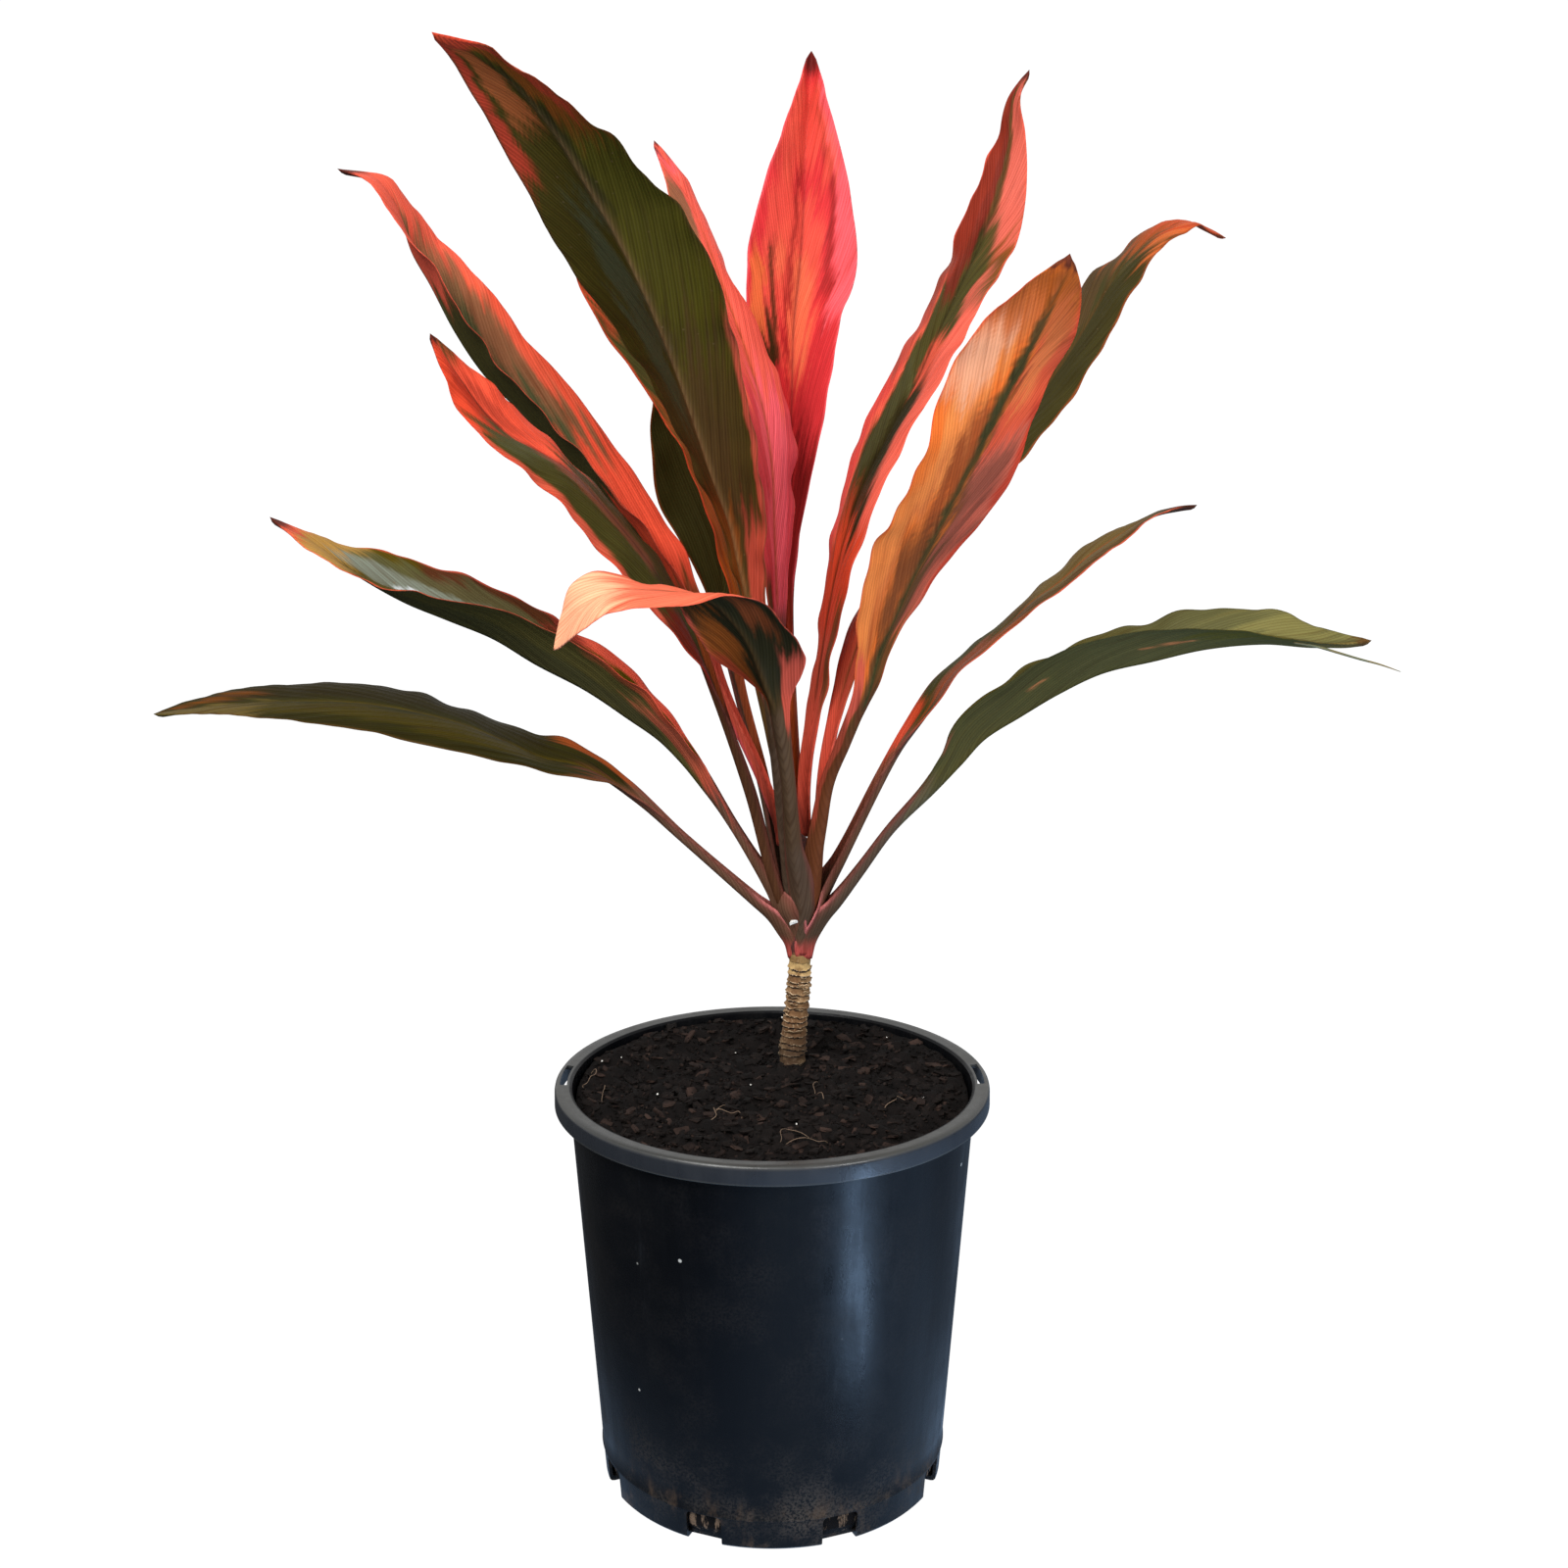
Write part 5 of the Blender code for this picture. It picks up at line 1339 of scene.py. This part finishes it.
class PLANT_OT_soil(bpy.types.Operator):
    """Fills the pot with potting mix and strews bark chips, crumbs and rootlets on it"""
    bl_idname = "plant.soil"
    bl_label = "Potting mix"

    def execute(self, context):
        mix = context.scene.plant_soil
        pot = context.scene.plant_pot
        top, crown = mix.top / MM, mix.crown / MM
        skirt_foot = (pot.height - pot.skirt) / MM
        foot, under_rim = pot.foot_radius / MM, pot.wall_top_radius / MM

        def wall_at(height):
            return foot + (under_rim - foot) * height / skirt_foot - pot.wall / MM - WALL_GAP

        edge = wall_at(top)

        def surface(x, y):
            share_out = np.sqrt(x ** 2 + y ** 2) / edge
            near_wall = 1.0 - 0.7 * smooth((share_out - 0.92) / 0.08)
            grit = 0.9 * rough(7, x / 5.0 + 40.0, y / 5.0 + 40.0, 3)
            heaped = BACK_HEAP * smooth((share_out - 0.62) / 0.34) * smooth((y + 50.0) / 90.0)
            return top + heaped + (crown * (1.0 - share_out ** 2) + lump(x, y) + grit) * near_wall

        def surface_at(x, y):
            return float(surface(np.array([x]), np.array([y]))[0])

        def place(u, v):
            angle = u * math.tau
            out = edge * np.clip(v / TOP_SHARE, 0.0, 1.0)
            x, y = out * np.cos(angle), out * np.sin(angle)
            z = surface(x, y)
            down = np.clip((v - TOP_SHARE) / WALL_SHARE, 0.0, 1.0)
            wobble = 0.3 * rough(9, angle % math.tau * 14.0 + 3.0, down * 30.0, 2)
            height = z * (1.0 - down) + SOIL_FOOT * down
            side_out = wall_at(height) + wobble - 0.3
            x = np.where(down > 0, side_out * np.cos(angle), x)
            y = np.where(down > 0, side_out * np.sin(angle), y)
            inward = 1.0 - np.clip((v - 0.96) / 0.04, 0.0, 1.0)
            points = np.stack([x * inward, y * inward, np.where(down > 0, height, z)], 1)
            return points * MM, {"tone": 0.5 + 0.0 * u}

        bed = close_up(sheet_of_points("potting_mix", 240, 130, place))
        peat = self.crumbly(mix, "peat", mix.peat)
        finish_piece(bed, peat, ("soil",))

        rng = np.random.default_rng(SOIL_SEED)

        def spots(number, keep_off):
            found = []
            while len(found) < number:
                out = (edge - 1.8) * math.sqrt(rng.random())
                angle = rng.random() * math.tau
                x, y = out * math.cos(angle), out * math.sin(angle)
                if math.hypot(x - CANE_ROUTE[0][0], y - CANE_ROUTE[0][1]) > keep_off:
                    found.append((x, y))
            return found

        def strewn(name, models, number, lengths_of, widths, heights, lean_by, sink):
            """Copies laid on the top: lengths in millimetres, widths and heights as shares of
            them, how far they lean and what share of the height is sunk."""
            matrices, tones = [], []
            for x, y in spots(number, CHIP_KEEP_OFF):
                long = rng.uniform(*lengths_of)
                wide = long * rng.uniform(*widths)
                thick = long * rng.uniform(*heights)
                z = surface_at(x, y) + thick * (0.5 - sink)
                matrices.append(tilted((x * MM, y * MM, z * MM), rng.random() * math.tau,
                                       rng.normal(0.0, lean_by), rng.normal(0.0, lean_by),
                                       (long * MM, wide * MM, thick * MM)))
                tones.append(rng.random() ** 1.4)
            return scattered(name, models, matrices, tones)

        bark = self.crumbly(mix, "bark", mix.bark)
        finish_piece(strewn("bark_chips", crumb_models(7, True), mix.chips, (2.2, 7.0),
                            (0.35, 0.8), (0.12, 0.26), 0.30, 0.20), bark)
        finish_piece(strewn("crumbs", crumb_models(5, False), mix.crumbs, (0.9, 2.4),
                            (0.5, 0.9), (0.4, 0.8), 0.9, 0.10), peat)
        finish_piece(strewn("white_grains", crumb_models(4, False), mix.specks, (0.7, 1.5),
                            (0.7, 1.0), (0.6, 0.9), 0.9, -0.3),
                     self.pale("white_grain", GRAIN_WHITE))

        threads = []
        for x, y in spots(mix.rootlets, ROOTLET_KEEP_OFF):
            heading = rng.random() * math.tau
            route = []
            for k in range(ROOTLET_KNOTS):
                arch = 1.6 * math.sin(math.pi * k / (ROOTLET_KNOTS - 1)) * rng.uniform(0.3, 1.2)
                lift = 1.0 + arch if 0 < k < ROOTLET_KNOTS - 1 else ROOTLET_END
                route.append((x, y, surface_at(x, y) + lift, 0.17 - 0.010 * k))
                heading += rng.normal(0.0, 0.5)
                x += ROOTLET_STEP * math.cos(heading)
                y += ROOTLET_STEP * math.sin(heading)
                if math.hypot(x, y) > edge - 3.0:
                    heading += 2.4
            threads.append(tube("rootlet", route, 6, 28))
        finish_piece(joined("rootlets", threads), self.pale("rootlet", mix.root))
        return {"FINISHED"}

    def crumbly(self, mix, name, base):
        """Dark organic crumb whose tone changes from one chip to the next, with painted shade in
        the gaps between crumbs.
        """
        paint = Paint(name)
        fine = paint.noise(paint.place, 620.0, 6.0, 0.7)
        broad = paint.noise(paint.place, 120.0, 5.0, 0.6)
        fibre = paint.drawn(paint.place, (300.0, 300.0, 60.0), 5.0, 0.65)
        light = tuple(c * f for c, f in zip(base, (6.0, 5.2, 4.8)))
        low = paint.times(paint.ramp(fibre, 0.54, 0.60),
                          paint.ramp(paint.parts(paint.place)["Z"], 0.050, 0.020), 0.95)
        # Painted shade: where the broad noise is low, a near-black paints the shade in the gaps
        # between crumbs.
        tone = paint.coated(base, (paint.ramp(paint.mark("tone"), 0.45, 1.0, 0.0, 0.9), light),
                            (paint.ramp(fine, 0.56, 0.72, 0.0, 0.75), light),
                            (paint.ramp(broad, 0.35, 0.6, 0.7, 0.0), CRUMB_GAP_SHADE),
                            (low, mix.root))
        raised = paint.bump(fine, 0.8, 0.0007)
        raised = paint.bump(broad, 0.5, 0.0016, raised)
        return paint.set(Base_Color=tone, Roughness=0.80, Normal=raised,
                         Specular_IOR_Level=0.10)

    def pale(self, name, base):
        """Pale grain or root, stained here and there."""
        paint = Paint(name)
        stain = paint.noise(paint.place, 260.0, 5.0, 0.65)
        tone = paint.mix(paint.ramp(stain, 0.52, 0.80), base, tuple(c * 0.45 for c in base))
        return paint.set(Base_Color=tone, Roughness=0.8, Normal=paint.bump(stain, 0.5, 0.0005))


class PLANT_OT_cane(bpy.types.Operator):
    """Grows the ringed cane, its papery scales and the bundle of young stalks"""
    bl_idname = "plant.cane"
    bl_label = "Cane"

    def execute(self, context):
        cane = context.scene.plant_cane
        rng = np.random.default_rng(CANE_SEED)
        scars = [FIRST_SCAR]
        while scars[-1] < LAST_SCAR:
            scars.append(scars[-1] + cane.ring_pitch / MM * rng.uniform(0.65, 1.4))
        leans = rng.uniform(-0.10, 0.10, (len(scars), 2))

        def ring_place(angle, z):
            """Height above the last scar and below the next one, and the last scar's number."""
            lows = np.stack([mark + 5.0 * (a * np.cos(angle) + b * np.sin(angle))
                             + 0.5 * rough(60 + k, angle * 3.0 + 20.0, 0.0 * angle + k, 3)
                             for k, (mark, (a, b)) in enumerate(zip(scars, leans))], 1)
            gap = z[:, None] - lows
            above = np.where(gap < 0, FAR_OFF, gap)
            below = np.where(gap >= 0, FAR_OFF, -gap)
            return above.min(1), below.min(1), np.argmin(above, 1)

        def relief(angle, z):
            above, below, last = ring_place(angle, z)
            ring_wear_and_lit_rim = 0.35 + 0.95 * grain(75, angle * 2.6 + 4.0, last * 3.0 + 2.0)
            lip = LIP[0] * ring_wear_and_lit_rim * np.exp(-above / LIP[1])
            groove = -RING_GROOVE[0] * ring_wear_and_lit_rim * np.exp(-(below / RING_GROOVE[1]) ** 2)
            wide = 0.30 * rough(77, angle * 4.0 + 12.0, z / 1.7, 3)
            shrunk = 0.25 * rough(78, angle * 1.2 + 9.0, z / 9.0, 2)
            old = 1.0 - 0.8 * smooth((z - 232.0) / 6.0)
            return (lip + groove + wide) * old + shrunk - 0.15

        def marks(angle, z):
            above, below, last = ring_place(angle, z)
            old = 1.0 - smooth((z - YOUNG_FROM) / 5.0)
            ragged = 0.4 + 0.9 * grain(76, angle * 3.2 + 4.0, last * 2.0 + 2.0)
            # The first mark darkens the rind just under each ring's lip: partly the scars' own
            # colour, partly painted shadow in the groove there.
            return {"scar_shade": np.exp(-(below / 0.95) ** 2) * ragged * (0.25 + 0.75 * old),
                    "lip": np.exp(-(above / 0.38) ** 2) * ragged * old,
                    "young": smooth((z - 229.0) / 6.0),
                    "tone": grain(81, last * 1.0, 0.0 * z + 4.0)}

        def core_relief(angle, z):
            crease = rough(90, angle * 3.0 + 5.0, z / 8.0, 2)
            fold = 0.35 * np.sin(angle * 5.0 + z / 9.0) + 0.2 * crease
            return fold * smooth((z - 246.0) / 6.0) * smooth((298.0 - z) / 6.0)

        rind = self.rind(cane)
        finish_piece(tube("cane", CANE_ROUTE, 96, 300, relief, marks), rind, ("stem",))
        finish_piece(tube("crown_core", CORE_ROUTE, 64, 90, core_relief),
                     self.young_stalk(cane))
        scales = []
        for i in range(cane.flakes):
            z = rng.uniform(188.0, 236.0)
            bearing = rng.uniform(-math.pi, math.pi) if i % 3 else rng.uniform(-2.4, -0.8)
            scales.append(self.flake(i, z, bearing, rng.uniform(0.4, 1.1), rng.uniform(1.2, 3.4)))
        finish_piece(joined("papery_scales", scales), rind)
        fleck = scattered("white_fleck", crumb_models(1, True),
                          [tilted(FLECK_PLACE, *FLECK_TURN, FLECK_SIZE)], [1.0])
        finish_piece(fleck, bpy.data.materials["white_grain"])
        return {"FINISHED"}

    def flake(self, number, z, bearing, spread, tall):
        """A torn papery scale that hugs the cane and stands off at its upper edge."""
        at = np.interp(z, [row[2] for row in CANE_ROUTE], range(len(CANE_ROUTE)))
        x, y, _, radius = (np.interp(at, range(len(CANE_ROUTE)), column)
                           for column in zip(*CANE_ROUTE))

        def place(u, v):
            turn = u * 2.0
            face = np.where(turn > 1.0, -1.0, 1.0)
            across = np.where(turn > 1.0, 2.0 - turn, turn)
            edge_on = np.isclose(across, 0.0) | np.isclose(across, 1.0) | np.isclose(v, 1.0)
            torn = 0.45 + 0.55 * grain(300 + number, across * 6.0 + 5.0, 0.0 * v + 3.0)
            angle = bearing + (across - 0.5) * spread * (1.0 + 0.2 * v)
            curled = 0.3 * rough(320 + number, across * 5.0, v * 3.0 + 4.0, 2)
            gap = 0.1 + 0.9 * v ** 1.6 + curled
            out = radius + gap + np.where(edge_on, 0.0, FLAKE_HALF * face)
            points = np.stack([x + out * np.cos(angle), y + out * np.sin(angle),
                               z + v * tall * torn], 1)
            zero = 0.0 * u
            # The first mark lays the rings' dark on the scale, strongest at its foot.
            return points * MM, {"scar_shade": 0.5 - 0.5 * v, "lip": smooth(v * 3.0 - 2.0),
                                 "young": zero + float(z > YOUNG_FROM), "tone": zero + 0.75}

        return close_up(sheet_of_points("scale_%02d" % number, 28, 8, place))

    def rind(self, cane):
        """Dry tan rind, dark along the leaf scars with painted shadow in the groove under each lip,
        and paler where it is young.
        """
        paint = Paint("rind")
        height = paint.parts(paint.place)["Z"]
        fibre = paint.drawn(paint.place, (900.0, 900.0, 160.0), 6.0, 0.65)
        blotch = paint.noise(paint.place, 130.0, 5.0, 0.6)
        pale = paint.mix(paint.times(paint.mark("young"), 0.6), cane.tan, cane.straw)
        brown = paint.mix(1.0, pale, OLD_RIND, "MULTIPLY")
        aged = paint.plus(blotch, paint.ramp(height, 0.238, 0.190, -0.10, 0.15))
        torn = paint.times(paint.ramp(paint.mark("lip"), 0.35, 0.9),
                           paint.ramp(blotch, 0.25, 0.45), 0.95)
        tone = paint.coated(pale, (paint.ramp(aged, 0.42, 0.60, 0.0, 0.9), brown),
                            (paint.ramp(paint.mark("tone"), 0.15, 0.6, 0.65, 0.0), brown),
                            (paint.ramp(fibre, 0.55, 0.75, 0.0, 0.5), cane.dark),
                            (paint.ramp(fibre, 0.42, 0.30, 0.0, 0.45), cane.paper),
                            # Painted shadow: the dark coat on the next line also paints the shade
                            # in the groove under each ring's lip.
                            (paint.ramp(paint.mark("scar_shade"), 0.10, 0.60, 0.0, 0.97), cane.dark),
                            (torn, cane.paper))
        # The rind is darkened towards the foot of the cane, down to 0.3 of its tone below 190 mm.
        sunk = paint.blend(paint.ramp(height, 0.214, 0.190), 1.0, 0.30)
        return paint.set(Base_Color=paint.mix(1.0, tone, sunk, "MULTIPLY"), Roughness=0.78,
                         Normal=paint.bump(fibre, 0.55, 0.0005), Specular_IOR_Level=0.25)

    def young_stalk(self, cane):
        """Folded young stalks, dark red and streaked lengthwise."""
        paint = Paint("young_stalk")
        streak = paint.drawn(paint.place, (700.0, 700.0, 60.0), 5.0, 0.6)
        rosy = tuple(min(1.0, c * f) for c, f in zip(cane.core, (3.2, 1.6, 1.5)))
        return paint.set(Base_Color=paint.mix(paint.ramp(streak, 0.45, 0.7), cane.core, rosy),
                         Roughness=0.55, Normal=paint.bump(streak, 0.4, 0.0004),
                         Specular_IOR_Level=0.25)


class PLANT_OT_leaves(bpy.types.Operator):
    """Grows the fifteen leaves, each with its own stalk, waves and paint"""
    bl_idname = "plant.leaves"
    bl_label = "Leaves"

    def execute(self, context):
        sizes = context.scene.plant_leaf
        tints = {tone: np.array(getattr(sizes, tone)) for tone in LEAF_COLOURS}
        green = leaf_paint("green_leaf", 0.40)
        red = leaf_paint("red_leaf", 0.42)
        for name in LEAVES:
            piece = leaf_blade(name, sizes, tints)
            piece.name = "blade_" + name[-2:]
            if name in RED_LEAVES:
                finish_piece(piece, red, (name,))
            else:
                finish_piece(piece, green, (name,))
        dry = Paint("dry_strand")
        tone = dry.mix(dry.ramp(dry.noise(dry.place, 90.0), 0.4, 0.6), sizes.sage, sizes.tan)
        strand = tube("split_strand", STRAND_ROUTE, 8, 40)
        finish_piece(strand, dry.set(Base_Color=tone, Roughness=0.6))
        return {"FINISHED"}


class PLANT_PT_panel(bpy.types.Panel):
    """Lists the steps that build the plant"""
    bl_idname = "PLANT_PT_panel"
    bl_label = "Ti plant"
    bl_space_type = "VIEW_3D"
    bl_region_type = "UI"
    bl_category = "Ti plant"

    def draw(self, context):
        for step in STEPS:
            self.layout.operator(step.bl_idname)


GROUPS = (("plant_pot", PLANT_PG_pot), ("plant_soil", PLANT_PG_soil),
          ("plant_cane", PLANT_PG_cane), ("plant_leaf", PLANT_PG_leaf),
          ("plant_stage", PLANT_PG_stage))
STEPS = (PLANT_OT_stage, PLANT_OT_pot, PLANT_OT_soil, PLANT_OT_cane, PLANT_OT_leaves)


def register():
    for name, group in GROUPS:
        bpy.utils.register_class(group)
        setattr(bpy.types.Scene, name, PointerProperty(type=group))
    for step in (*STEPS, PLANT_PT_panel):
        bpy.utils.register_class(step)


def unregister():
    for step in (PLANT_PT_panel, *reversed(STEPS)):
        bpy.utils.unregister_class(step)
    for name, group in reversed(GROUPS):
        delattr(bpy.types.Scene, name)
        bpy.utils.unregister_class(group)


def main():
    register()
    bpy.ops.plant.stage()
    bpy.ops.plant.pot()
    bpy.ops.plant.soil()
    bpy.ops.plant.cane()
    bpy.ops.plant.leaves()


if __name__ == "__main__":
    main()
